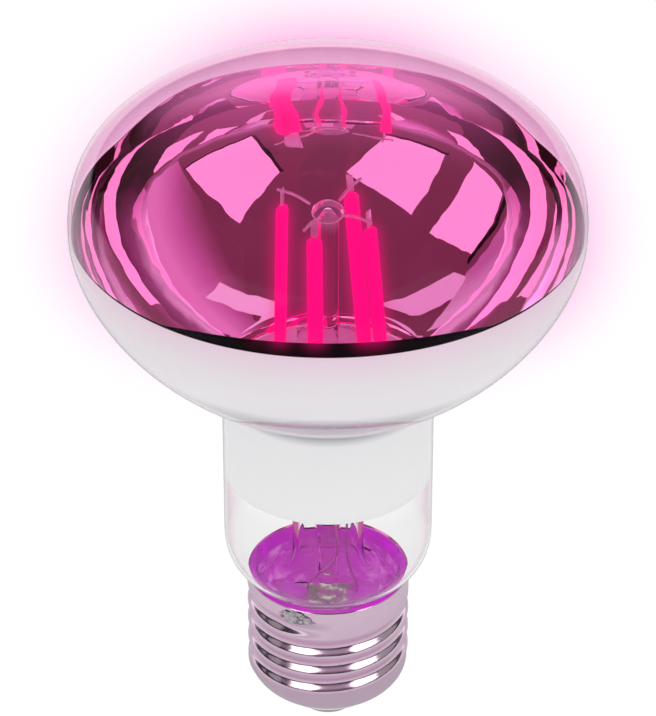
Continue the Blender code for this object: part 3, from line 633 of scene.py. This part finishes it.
def makeFilament(number, seat, glow, nickel):
    foot, head, along, outward, sideways = seatFrame(*seat)
    length = (head - foot).length
    strip = cube(f'filament{number}', (cage['width'], cage['thickness'], length), cage['edge'], 5)
    smooth(strip)
    put(strip, frameMatrix(sideways, outward, along, (head + foot) / 2))
    finished(strip, 'filament', [f'led_filament_{number}'], glow)

    step = cage['gap'] + cage['tabLength'] / 2
    for place, label in ((head + along * step, 'upper'), (foot - along * step, 'lower')):
        size = (cage['tabWidth'], cage['tabSheet'], cage['tabLength'])
        tab = cube(f'{label}Tab{number}', size, 0.06 * mm, 2)
        smooth(tab)
        put(tab, frameMatrix(sideways, outward, along, place))
        finished(tab, 'nickel_wire', [f'{label}_tab_{number}'], nickel)

    beside = sideways * (cage['tabWidth'] / 2 + cage['gap'] + cage['wireRadius'])
    tie = head + along * (cage['gap'] + cage['tabLength'] * cage['tie']) + beside
    away = Vector((tie.x, tie.y, 0)).normalized()
    start = away * (stem['button'] + cage['gap'] + cage['wireRadius'])
    start.z = stem['buttonZ'] + stem['buttonHalf'] / 3
    bend = start.lerp(tie, cage['anchorBend']) + Vector((0, 0, cage['wireRadius']))
    anchor = wire(f'anchorWire{number}', (start, bend, tie, tie + away * cage['overhang']),
                  cage['wireRadius'])
    finished(anchor, 'nickel_wire', [f'anchor_wire_{number}'], nickel)

    side = math.copysign(1, foot.x)
    depth = math.copysign(1, foot.y)
    base = Vector((side * cage['exitReach'], depth * cage['exitSpread'],
                   stem['pressTop'] + cage['gap']))
    over = base + Vector((0, 0, cage['exitRise']))
    reach = cage['tabSheet'] / 2 + cage['gap'] + cage['wireRadius']
    end = foot - along * (cage['gap'] + cage['tabLength'] * cage['tie']) - outward * reach
    lower = wire(f'lowerWire{number}', (base, over, end), cage['wireRadius'], 'VECTOR')
    finished(lower, 'nickel_wire', [f'lower_wire_{number}'], nickel)


def nickelFinish(name, glow):
    finish = Finish(name, Metallic=1.0, Emission_Strength=glow)
    drawn = finish.noise(900, 3, stretch=(1, 1, 0.1))
    # the pink in the metal and the emission are painted glow of the lamp's light on the wires
    finish.paint(
        Base_Color=finish.mix(drawn, (0.80, 0.66, 0.75), (0.55, 0.44, 0.50)),
        Roughness=finish.spread(drawn, 0.3, 0.7, 0.22, 0.38),
        Emission_Color=finish.mix(drawn, (0.30, 0.11, 0.20), (0.16, 0.05, 0.11)))
    return finish


def makeCage(nickel):
    glow = Finish('filamentGlow', Roughness=0.4, Specular_IOR_Level=0.1)
    lumps = glow.noise(700, 2)
    hot = glow.mix(lumps, cage['glow'], (1.0, 0.008, 0.235))
    skin = glow.mix(lumps, (0.25, 0.002, 0.05), (0.3, 0.003, 0.07))
    glow.paint(Base_Color=skin, Emission_Color=hot, Emission_Strength=1.0)
    for number, seat in enumerate(cage['seats'], start=1):
        makeFilament(number, seat, glow, nickel)


# Screw cap

cap = {
    'top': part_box('cap_shell')[1].z, 'radius': 13.2 * mm, 'sheet': 0.3 * mm,
    'collarZ': 25.3 * mm, 'pitch': 3.63 * mm, 'depth': 0.85 * mm,
    'startAngle': 272.9, 'turns': 4.1, 'startFade': 0.12, 'endFade': 0.8,
    'footZ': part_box('cap_shell')[0].z, 'footRadius': 10.0 * mm, 'footRise': 3.8 * mm,
    'steps': 180, 'threadRows': 22, 'rimEdge': 0.12 * mm, 'footBulge': 0.35 * mm,
    'mauve': ((0.30, 0.03, 0.26), (0.47, 0.032, 0.48), (0.64, 0.22, 0.60)),
    'glowSpan': (4 * mm, 15 * mm), 'glowDrift': 8 * mm,
    'glowSides': ((0.42, 0.10, 0.32), (0.40, 0.02, 0.42)),
}


def threadGroove(angle, z):                     # 0 on a crest, 1 in a root; right-handed
    around = (angle - math.radians(cap['startAngle'])) / fullTurn
    turns = (z - cap['collarZ']) / cap['pitch'] - around
    course = -math.ceil(turns) - around
    wave = (1 - math.cos(fullTurn * turns)) / 2
    start = min(max(course / cap['startFade'], 0.0), 1.0)
    end = min(max((cap['turns'] - course) / cap['endFade'], 0.0), 1.0)
    return wave * start * end


def capLine():
    radius, footTop = cap['radius'], cap['footZ'] + cap['footRise']
    rows = round(cap['threadRows'] * (cap['collarZ'] - footTop) / cap['pitch'])
    line = [(radius - cap['rimEdge'], cap['top']), (radius, cap['top'] - 0.1 * mm),
            (radius, cap['top'] - mm)]
    line += [(radius, cap['collarZ'] + (footTop - cap['collarZ']) * row / rows)
             for row in range(rows + 1)]
    corner = Vector((radius, footTop))
    end = Vector((cap['footRadius'], cap['footZ']))
    for row in range(1, 9):                     # the cone down to the rolled foot
        place = corner.lerp(end, row / 8)
        bulge = cap['footBulge'] * math.sin(math.pi * row / 8)
        line.append((place.x + bulge, place.y - bulge))
    return line


def insideGlow(name, dim, middle, bright):      # surfaces lit by the lamp's own light
    finish = Finish(name, Roughness=0.6)
    cloud = finish.noise(240, 8, 0.75)
    color = finish.ramp(cloud, ((0.40, dim), (0.5, middle), (0.62, bright)))
    drift = cloud * cap['glowDrift']
    aside = finish.spread(abs(finish.along('X')) + drift, *cap['glowSpan'], 0, 1)
    color = finish.mix(aside, finish.mix(cloud, *cap['glowSides']), color)
    finish.paint(Base_Color=(0.12, 0.01, 0.11), Emission_Color=color, Emission_Strength=1.0)
    return finish


def makeCap():
    finish = Finish('capNickel', Metallic=1.0)
    wear = finish.noise(240, 5)
    rolled = finish.noise(500, 3, stretch=(0.12, 0.12, 3))
    # the pink in the metal is painted glow of the lamp's light; the noise varies it at random
    finish.paint(
        Base_Color=finish.mix(wear, (1.0, 0.76, 0.92), (0.91, 0.67, 0.83)),
        Roughness=finish.spread(wear, 0.3, 0.75, 0.12, 0.2))
    finish.bump(rolled, 0.02 * mm, 0.2)
    inner = insideGlow('capInside', *cap['mauve'])
    piece = turn('capShell', capLine(), cap['steps'])
    for vertex in piece.data.vertices:
        place = vertex.co
        radius = math.hypot(place.x, place.y)
        groove = cap['depth'] * threadGroove(math.atan2(place.y, place.x), place.z)
        place.x *= (radius - groove) / radius
        place.y *= (radius - groove) / radius
    piece.data.materials.append(finish.material)
    piece.data.materials.append(inner.material)
    walled(piece, cap['sheet'], material_offset=1)
    smooth(piece)
    finished(piece, 'cap_metal', ['cap_shell'])


capEnd = {
    'hole': 1.5 * mm, 'noseRadius': 4.9 * mm, 'neckZ': 5 * mm, 'fullness': 2.6, 'gap': 0.3 * mm,
    'flangeFoot': 7.5 * mm, 'throatTop': 5.9 * mm,
    'plate': 1.1 * mm, 'pin': 1.2 * mm, 'plateEdge': 0.3 * mm,
}


def makeInsulator():
    low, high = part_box('cap_insulator')
    hole, noseRadius, neckZ = capEnd['hole'], capEnd['noseRadius'], capEnd['neckZ']
    throat = cap['footRadius'] - cap['sheet'] - capEnd['gap']
    pale = Finish('capInsulator', IOR=1.5)
    fleck = pale.noise(420, 4)
    pale.paint(Base_Color=pale.mix(fleck, (0.80, 0.80, 0.80), (0.68, 0.69, 0.69)),
               Roughness=pale.spread(fleck, 0.3, 0.7, 0.25, 0.45))
    line = [(hole, high.z), (high.x - mm, high.z), (high.x - 0.5 * mm, high.z - 0.5 * mm)]
    line += [(high.x, capEnd['flangeFoot']), (throat, capEnd['throatTop']), (throat, neckZ)]
    for row in range(1, 9):
        angle = math.pi / 2 * row / 8
        line.append((noseRadius + (throat - noseRadius) * math.cos(angle) ** capEnd['fullness'],
                     neckZ + (low.z - neckZ) * math.sin(angle)))
    line += [(hole, low.z), (hole, high.z)]
    piece = turn('capInsulator', line, 72)
    smooth(piece, 30)
    finished(piece, 'cap_insulator', ['cap_insulator'], pale)


def makeContact():
    top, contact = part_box('cap_insulator')[1].z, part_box('centre_contact')[1].x
    plate = Finish('contactPlate', Metallic=1.0)
    rub = plate.noise(500, 5)
    plate.paint(Base_Color=plate.mix(rub, (0.78, 0.75, 0.71), (0.60, 0.55, 0.50)),
                Roughness=plate.spread(rub, 0.3, 0.7, 0.2, 0.42))
    height, pin, edge = capEnd['plate'], capEnd['pin'], capEnd['plateEdge']
    line = [(0.0, top), (pin, top), (pin, height), (contact - edge, height)]
    for row in range(7):
        angle = math.pi * row / 6
        line.append((contact - edge + edge * math.sin(angle),
                     height / 2 + (height / 2) * math.cos(angle)))
    line.append((0.0, 0.0))
    piece = turn('centreContact', line, 72)
    smooth(piece, 30)
    finished(piece, 'contact_metal', ['centre_contact'], plate)


# Cement, leads and weld

base = {
    'cementTop': 26.75 * mm, 'cementFoot': 24.9 * mm, 'cementEdge': cap['radius'] - 0.34 * mm,
    'swell': 0.28 * mm, 'swellAzimuth': 225, 'weldAzimuth': 246.6, 'slotRadius': 11.95 * mm,
    'magenta': ((0.36, 0.0, 0.36), (0.48, 0.0, 0.50), (0.60, 0.0, 0.62)),
    'wide': 3.45 * mm, 'face': 0.9 * mm, 'boardTop': 21.8 * mm, 'lap': 1.3 * mm,
    'leads': ((290, 242, -3.4), (30, 20, 4.76)), 'leadRadius': 0.2 * mm,
    # the side lead from the board to its slot: degrees short of the weld, radius and height
    'sideStart': Vector((-7.95, 0.9, 19.95)) * mm, 'sideRadius': 0.25 * mm,
    'sideBends': ((30, 10 * mm, 21.2 * mm), (8, 10.7 * mm, 22.45 * mm)),
    'slotFoot': 23.8 * mm, 'slotTop': 26 * mm,
    'weldSize': Vector((0.34, 4.6, 2.0)) * mm, 'weldZ': 25.4 * mm,
}


def makeCement():
    finish = insideGlow('basingCement', *base['magenta'])
    outer, inner, top = base['cementEdge'], glass['seal'] + 0.08 * mm, base['cementTop']
    line = [(inner, top - 0.1 * mm), (inner + 0.2 * mm, top), (outer, top + 0.1 * mm)]
    line += [(outer, base['cementFoot']), (inner, base['cementFoot']), (inner, top - 0.1 * mm)]
    piece = turn('basingCement', line, 120)
    for vertex in piece.data.vertices:
        place = vertex.co
        if place.z > top - mm:
            azimuth = math.atan2(place.y, place.x) - math.radians(base['swellAzimuth'])
            place.z += base['swell'] * math.cos(azimuth)
            place.z += 0.1 * mm * noise.noise(place / mm)
    smooth(piece)
    finished(piece, 'basing_cement', ['basing_cement'], finish)


def makeLeads(nickel):
    top, bend = stem['pressFoot'] - stem['lead'], stem['flareTop']
    waist = (stem['flareTop'] + stem['flareFoot']) / 2
    for number, (tube, turnTo, across) in enumerate(base['leads'], start=1):
        knots = (
            polar(tube, base['wide'], top), polar(tube, base['wide'], (top + bend) / 2),
            polar(tube, base['wide'], bend), polar(turnTo, base['wide'], waist),
            Vector((across * mm, base['face'], base['boardTop'])),
            Vector((across * mm, base['face'], base['boardTop'] - base['lap'])))
        piece = wire(f'leadInWire{number}', knots, base['leadRadius'])
        finished(piece, 'nickel_wire', [f'lead_in_wire_{number}'], nickel)

    weld, slot = base['weldAzimuth'], base['slotRadius']
    knots = [base['sideStart']]
    knots += [polar(weld - short, radius, z) for short, radius, z in base['sideBends']]
    knots += [polar(weld, slot, base['slotFoot']), polar(weld, slot, base['slotTop'])]
    piece = wire('sideLead', knots, base['sideRadius'])
    finished(piece, 'nickel_wire', ['side_lead'], nickel)


def makeWeld():
    finish = Finish('sideWeld', Metallic=1.0)
    crust = finish.noise(1400, 6, 0.7)
    finish.paint(
        Base_Color=finish.ramp(crust, ((0.35, (0.16, 0.12, 0.15)), (0.52, (0.80, 0.72, 0.78)))),
        Roughness=finish.spread(crust, 0.3, 0.7, 0.6, 0.2))
    finish.bump(crust, 0.15 * mm, 0.9)
    nothingSelected()
    bpy.ops.mesh.primitive_ico_sphere_add(subdivisions=5, radius=0.5, location=(0, 0, 0))
    piece = started('sideWeld')
    distance = cap['radius'] + 0.1 * mm
    for vertex in piece.data.vertices:
        rough = 1 + 0.5 * noise.noise(vertex.co * 4.3) + 0.45 * noise.noise(vertex.co * 13)
        place = vertex.co * rough
        place = Vector(a * b for a, b in zip(place, base['weldSize']))
        place.x += math.sqrt(distance ** 2 - place.y ** 2)
        vertex.co = place + Vector((0, 0, base['weldZ']))
    put(piece, Matrix.Rotation(math.radians(base['weldAzimuth']), 4, 'Z'))
    smooth(piece, 60)
    finished(piece, 'solder', ['side_weld'], finish)


# Driver

driver = {
    # painted glow of the lamp's light on the board: mottled spots in its middle
    'paintedGlowSpots': ((0.40, (0.10, 0.13, 0.07)), (0.48, (0.34, 0.06, 0.28)),
              (0.54, (0.26, 0.16, 0.22)), (0.62, (0.50, 0.52, 0.42))),
    'paintedGlowSpotSpan': (2.6 * mm, 4.2 * mm), 'boardEdge': 0.08 * mm, 'packageEdge': 0.25 * mm,
    'leg': 0.3 * mm, 'legHeight': 1.6 * mm, 'capWidth': 0.2 * mm,
}


def makeBoard():
    low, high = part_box('driver_board')
    laminate = Finish('boardLaminate', Roughness=0.45)
    weave = laminate.noise(600, 3)
    middle = laminate.noise(420, 4, 0.7)
    # the emission is painted glow of the lamp's light: mottled spots in the middle, the cap's glow
    # tones to the sides
    aside = laminate.spread(abs(laminate.along('X')), *driver['paintedGlowSpotSpan'], 0, 1)
    paintedGlowSpots = laminate.ramp(middle, driver['paintedGlowSpots'])
    plain = laminate.ramp(middle, ((0.35, cap['mauve'][0]), (0.65, cap['mauve'][1])))
    laminate.paint(
        Base_Color=laminate.mix(weave, (0.05, 0.12, 0.05), (0.09, 0.20, 0.09)),
        Emission_Color=laminate.mix(aside, paintedGlowSpots, plain), Emission_Strength=1.0)
    board = cube('driverBoard', high - low, driver['boardEdge'], 2)
    put(board, Matrix.Translation((low + high) / 2))
    smooth(board)
    finished(board, 'board', ['driver_board'], laminate)


def makePackages():
    package = Finish('blackPackage', Roughness=0.5)
    grain = package.noise(1500, 3)
    package.paint(Base_Color=package.mix(grain, (0.012, 0.012, 0.013), (0.03, 0.03, 0.03)))
    package.bump(grain, 0.02 * mm, 0.6)
    for name, node in (('bridgeRectifier', 'bridge_rectifier'), ('driverChip', 'driver_chip')):
        low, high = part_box(node)
        piece = cube(name, high - low, driver['packageEdge'], 4)
        put(piece, Matrix.Translation((low + high) / 2))
        smooth(piece)
        finished(piece, 'chip_package', [node], package)


def makeCapacitor():
    low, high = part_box('capacitor')
    radius, tall = (high.x - low.x) / 2, high.z - low.z
    sleeve = Finish('capacitorSleeve', Roughness=0.35)
    sleeve.paint(Base_Color=sleeve.mix(sleeve.noise(900, 2), (0.02, 0.02, 0.03), (0.05, 0.05, 0.07)))
    line = [(0.0, tall - 0.15 * mm), (radius * 0.8, tall - 0.15 * mm), (radius * 0.86, tall)]
    for row in range(5):
        angle = math.pi / 2 * row / 4
        line.append((radius * (0.88 + 0.12 * math.sin(angle)),
                     tall - radius * 0.12 * (1 - math.cos(angle))))
    line += [(radius, radius * 0.55), (radius * 0.9, radius * 0.45), (radius, radius * 0.33)]
    line += [(radius, radius * 0.1), (radius * 0.9, 0.0), (0.0, 0.0)]
    piece = turn('capacitor', line, 48)
    put(piece, Matrix.Translation(((low.x + high.x) / 2, (low.y + high.y) / 2, low.z)))
    smooth(piece, 30)
    finished(piece, 'capacitor_sleeve', ['capacitor'], sleeve)


def makeResistor():
    low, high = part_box('fusible_resistor')
    radius, leg, capWidth = high.x, driver['leg'], driver['capWidth']
    body, end = low.z + driver['legHeight'], high.z - driver['legHeight']
    baked = Finish('resistorCoat', Roughness=0.55)
    baked.paint(Base_Color=baked.mix(baked.noise(800, 3), (0.20, 0.38, 0.46), (0.28, 0.48, 0.58)))
    line = [(0.0, high.z), (leg, high.z), (leg, end)]
    for row in range(9):                        # the ends swell over their caps
        swell = 0.82 + 0.18 * abs(math.cos(math.pi * row / 8))
        line.append((radius * swell, end - capWidth - (end - body - 2 * capWidth) * row / 8))
    line += [(leg, body), (leg, low.z), (0.0, low.z)]
    piece = turn('fusibleResistor', line, 36)
    smooth(piece)
    finished(piece, 'resistor_coat', ['fusible_resistor'], baked)


# Floor, light and camera

studio = {
    'distance': 2.2, 'aim': Vector((0, 0, 0.09)),
    'elevation': 33.37, 'cameraDistance': 0.58347, 'target': Vector((0, 0, 0.067544)),
    'sensor': 36, 'lens': 3707.17 * 36 / 716,   # from the focal length in pixels
    'lampSize': 1.6, 'lampPower': 22, 'lampPlace': Vector((0.2, -0.5, 1.6)),
    # floor and sky as the light finds them that the mirror bowl has sent on
    'under': (0.60, 0.11, 0.34), 'paper': (0.84, 0.42, 0.66), 'underSpan': (0.09, 0.2),
    'skyInBowl': ((0.02, (0.60, 0.22, 0.45)), (0.12, (0.20, 0.049, 0.094))),
    # and as the outer faces reflect them; the floor by twice the distance from the bulb
    'skyInGloss': (
        (0.01, (0.95, 0.95, 0.95)), (0.05, (0.012, 0.009, 0.012)),
        (0.28, (0.012, 0.009, 0.012)), (0.6, (0.42, 0.34, 0.40))),
    'floorInGloss': (
        (0.05, (0.42, 0.42, 0.43)), (0.1, (0.60, 0.60, 0.61)), (0.2, (0.44, 0.44, 0.46)),
        (0.36, (0.44, 0.44, 0.46)), (0.7, (0.95, 0.95, 0.95))),
    # the right card fades with its height and towards the front: shares of Z and Y, then an offset
    'rightFade': (0.56, -0.54, -0.28),
    'rightTones': ((0.1, (0.796, 0.302, 0.589)), (0.5, (0.55, 0.136, 0.371)),
                   (0.75, (0.35, 0.082, 0.194)), (1.0, (0.20, 0.049, 0.094))),
    # the far left card grows brighter between these two places along Y
    'farLeftSpan': (0.55, 0.95),
    'farLeftTones': ((0.0, (0.512, 0.152, 0.36)), (1.0, (0.741, 0.424, 0.626))),
    'further': {'right': 0.7, 'deepDark': -0.2},    # these two cards don't stand with the rest
}
window, black = (1.3, 0.56875, 0.91875), (0.0, 0.0, 0.0)
# cards by the azimuth (from +Y towards +X) and elevation of their corners, then their tone as
# seen from inside the mirror bowl (two have tones of their own above) and their grey outside it
cards = {
    'frontRight': (((111.4, 14.0), (145.2, 9.8), (154.7, 34.7), (117.6, 46.8)), window, 1.9),
    'frontLeft': (((-153.4, 12.4), (-124.6, 13.1), (-124.3, 45.6), (-170.5, 37.0)), window, 1.9),
    'left': (((-109.6, 9.0), (-89.0, 12.2), (-79.0, 34.8), (-107.9, 44.8)), window, 0.3),
    'backLeft': (((-77.0, 41.0), (-63.3, 29.4), (-60.8, 50.2), (-78.7, 68.8)),
                 (0.84, 0.45, 0.70), 0.2),
    'backRight': (((64.3, 40.7), (76.7, 48.0), (84.0, 69.0), (66.4, 66.0)),
                  (0.957, 0.60, 0.82), 0.2),
    'deepDark': (((139.0, 9.5), (-157.0, 9.5), (-157.0, 46.0), (139.0, 46.0)),
                 (0.02, 0.005, 0.003), 0.0),
    'right': (((48.0, 7.0), (109.0, 7.0), (109.0, 54.0), (48.0, 54.0)), None, 0.3),
    'farLeft': (((-84.0, 8.0), (-50.0, 8.0), (-50.0, 42.0), (-73.0, 36.0)), None, 0.3),
    'leftFlag': (((-88.6, 9.0), (-86.2, 9.0), (-76.5, 36.0), (-78.7, 36.0)), black, 0.0),
    'lowFlag': (((-155.0, 10.6), (-123.5, 11.2), (-123.5, 12.9), (-154.0, 12.2)), black, 0.0),
    'midFlag': (((110.0, 13.4), (145.6, 8.6), (145.4, 9.8), (110.6, 14.0)), black, 0.0),
    'edgeFlag': (((145.2, 9.4), (147.2, 9.2), (156.8, 34.6), (154.9, 34.7)), black, 0.0),
    'front': (((168.0, 4.0), (-168.0, 4.0), (-170.0, 9.4), (170.0, 9.4)), (0.66, 0.19, 0.44), 0.3),
}


def skyPoint(azimuth, elevation, distance):
    a, e = math.radians(azimuth), math.radians(elevation)
    return studio['aim'] + distance * Vector((
        math.sin(a) * math.cos(e), math.cos(a) * math.cos(e), math.sin(e)))


def makeFloor():
    nothingSelected()
    bpy.ops.mesh.primitive_plane_add(size=24, location=(0, 0, -0.02 * mm))
    floor = started('floor')
    pale = Finish('paleFloor', Roughness=0.9, Specular_IOR_Level=0.0)
    glossy = pale.light('Is Glossy Ray') * (1.0 - pale.light('Is Transmission Ray'))
    away = pale.node('ShaderNodeVectorMath', {'operation': 'LENGTH'}, {0: pale.place}, 'Value')
    outer = pale.mix(glossy, (1.0, 1.0, 1.0), pale.ramp(away * 2.0, studio['floorInGloss']))
    inner = pale.mix(pale.spread(away, *studio['underSpan'], 0, 1), studio['under'], studio['paper'])
    color = pale.mix(pale.insideBowl(), outer, inner)
    pale.paint(Base_Color=(0.06, 0.06, 0.06), Emission_Color=color, Emission_Strength=0.99)
    floor.data.materials.append(pale.material)


def makeCards():
    for name, (corners, pink, grey) in cards.items():
        nothingSelected()
        bpy.ops.mesh.primitive_plane_add(size=1, location=(0, 0, 0))
        card = started(f'card{name[0].upper()}{name[1:]}')
        distance = studio['distance'] + studio['further'].get(name, 0.0)
        for vertex, index in zip(card.data.vertices, (0, 1, 3, 2)):
            vertex.co = skyPoint(*corners[index], distance)
        shine = Finish(f'{name}Card', Roughness=1.0)
        if name == 'right':
            upwards, backwards, offset = studio['rightFade']
            fade = shine.along('Z') * upwards + shine.along('Y') * backwards + offset
            pink = shine.ramp(fade, studio['rightTones'])
        if name == 'farLeft':
            lit = shine.spread(shine.along('Y'), *studio['farLeftSpan'], 0, 1)
            pink = shine.ramp(lit, studio['farLeftTones'])
        if name == 'deepDark':
            shine.onlyDeep()
        color = shine.mix(shine.insideBowl(), (grey, grey, grey), pink)
        shine.paint(Base_Color=(0, 0, 0), Emission_Color=color, Emission_Strength=1.0)
        card.data.materials.append(shine.material)
        card.visible_camera = False


def makeWorld():
    world = bpy.data.worlds.new('studio')
    bpy.context.scene.world = world
    world.use_nodes = True
    sky = Sky(world.node_tree)
    up = sky.node('ShaderNodeSeparateXYZ', {}, {
        0: sky.node('ShaderNodeTexCoord', output='Generated')}, 'Z')
    outer = sky.ramp(up, studio['skyInGloss'])
    inner = sky.ramp(up, studio['skyInBowl'])
    seen = sky.mix(sky.insideBowl(), outer, inner)
    color = sky.mix(sky.light('Is Camera Ray'), seen, (1.0, 1.0, 1.0))
    sky.feed(world.node_tree.nodes['Background'].inputs['Color'], color)


def makeLamp():
    lamp = bpy.data.lights.new('overhead', 'AREA')
    lamp.size = studio['lampSize']
    lamp.energy = studio['lampPower']
    key = bpy.data.objects.new('overhead', lamp)
    bpy.context.scene.collection.objects.link(key)
    key.location = studio['lampPlace']
    key.rotation_euler = (studio['aim'] - key.location).to_track_quat('-Z', 'Y').to_euler()
    key.visible_glossy = False
    key.visible_transmission = False
    key.visible_camera = False


def makeCamera():
    lens = bpy.data.cameras.new('camera')
    lens.lens = studio['lens']
    lens.sensor_width = studio['sensor']
    lens.sensor_fit = 'AUTO'
    lens.clip_start = 0.01
    camera = bpy.data.objects.new('camera', lens)
    bpy.context.scene.collection.objects.link(camera)
    tilt = math.radians(studio['elevation'])
    camera.location = studio['target'] + studio['cameraDistance'] * Vector((
        0, -math.cos(tilt), math.sin(tilt)))
    camera.rotation_euler = (math.pi / 2 - tilt, 0, 0)
    bpy.context.scene.camera = camera


# Glow round the bulb, blurred out of the finished picture

halo = {
    # the pink of the bulb spreads over what is pale and takes green and blue away there
    'reach': (138.0, 138.0), 'least': 0.05, 'gain': 2.4, 'green': 1.85, 'blue': 0.78,
    'inner': 3.0, 'pale': 0.8, 'paleEdge': 8.0, 'onDark': 0.3,
    # the filaments' own glow, a short way round them
    'near': (20.0, 20.0), 'hot': 3.0, 'hotGain': 3.0, 'color': (1.0, 0.004, 0.2, 1.0),
    'share': 0.8,
}


def makeHalo():
    scene = bpy.context.scene
    scene.use_nodes = True
    tree = scene.node_tree
    tree.nodes.clear()

    def node(kind, sockets=None, **settings):
        made = tree.nodes.new(kind)
        for key, value in settings.items():
            setattr(made, key, value)
        for key, value in (sockets or {}).items():
            if isinstance(value, bpy.types.NodeSocket):
                tree.links.new(value, made.inputs[key])
            else:
                made.inputs[key].default_value = value
        return made

    def reckon(operation, first, second, clamp=False):
        return node('CompositorNodeMath', {0: first, 1: second}, operation=operation,
                    use_clamp=clamp).outputs[0]

    picture = node('CompositorNodeRLayers').outputs['Image']
    split = node('CompositorNodeSeparateColor', {0: picture}).outputs
    warm = reckon('SUBTRACT', reckon('SUBTRACT', split[0], split[2]), halo['least'], True)
    pink = reckon('MULTIPLY', warm, halo['gain'], True)
    spread = node('CompositorNodeBlur', {'Image': pink, 'Size': halo['reach']},
                  filter_type='GAUSS').outputs[0]
    clear = reckon('SUBTRACT', 1.0, reckon('MULTIPLY', pink, halo['inner'], True))
    lit = reckon('SUBTRACT', split[2], halo['pale'], True)
    pale = reckon('MAXIMUM', reckon('MULTIPLY', lit, halo['paleEdge'], True), halo['onDark'])
    share = reckon('MULTIPLY', reckon('MULTIPLY', spread, clear), pale)
    green = reckon('MULTIPLY', split[1], reckon(
        'SUBTRACT', 1.0, reckon('MULTIPLY', share, halo['green']), True))
    blue = reckon('MULTIPLY', split[2], reckon(
        'SUBTRACT', 1.0, reckon('MULTIPLY', share, halo['blue']), True))
    joined = node('CompositorNodeCombineColor', {0: split[0], 1: green, 2: blue, 3: split[3]})
    hot = reckon('SUBTRACT', split[0], reckon('MULTIPLY', split[2], halo['hot']), True)
    near = node('CompositorNodeBlur', {
        'Image': reckon('MULTIPLY', hot, halo['hotGain'], True), 'Size': halo['near']},
        filter_type='GAUSS').outputs[0]
    lamp = node('CompositorNodeMixRGB', {
        0: reckon('MULTIPLY', near, halo['share'], True), 1: joined.outputs[0], 2: halo['color']})
    node('CompositorNodeComposite', {0: lamp.outputs[0]})


scene = bpy.context.scene
scene.view_settings.view_transform = 'Standard'
scene.view_settings.look = 'None'
makeFloor()
makeCards()
makeWorld()
makeLamp()
makeCamera()
makeHalo()
print('studio set')
makeGlass()
makeCoat()
print('bulb and coat done')
makeStem()
makeCage(nickelFinish('nickelWire', 1.0))
print('stem and filaments done')
makeCap()
makeInsulator()
makeContact()
makeCement()
makeLeads(nickelFinish('leadWire', 0.2))
makeWeld()
makeBoard()
makePackages()
makeCapacitor()
makeResistor()
print('cap, leads and driver done')
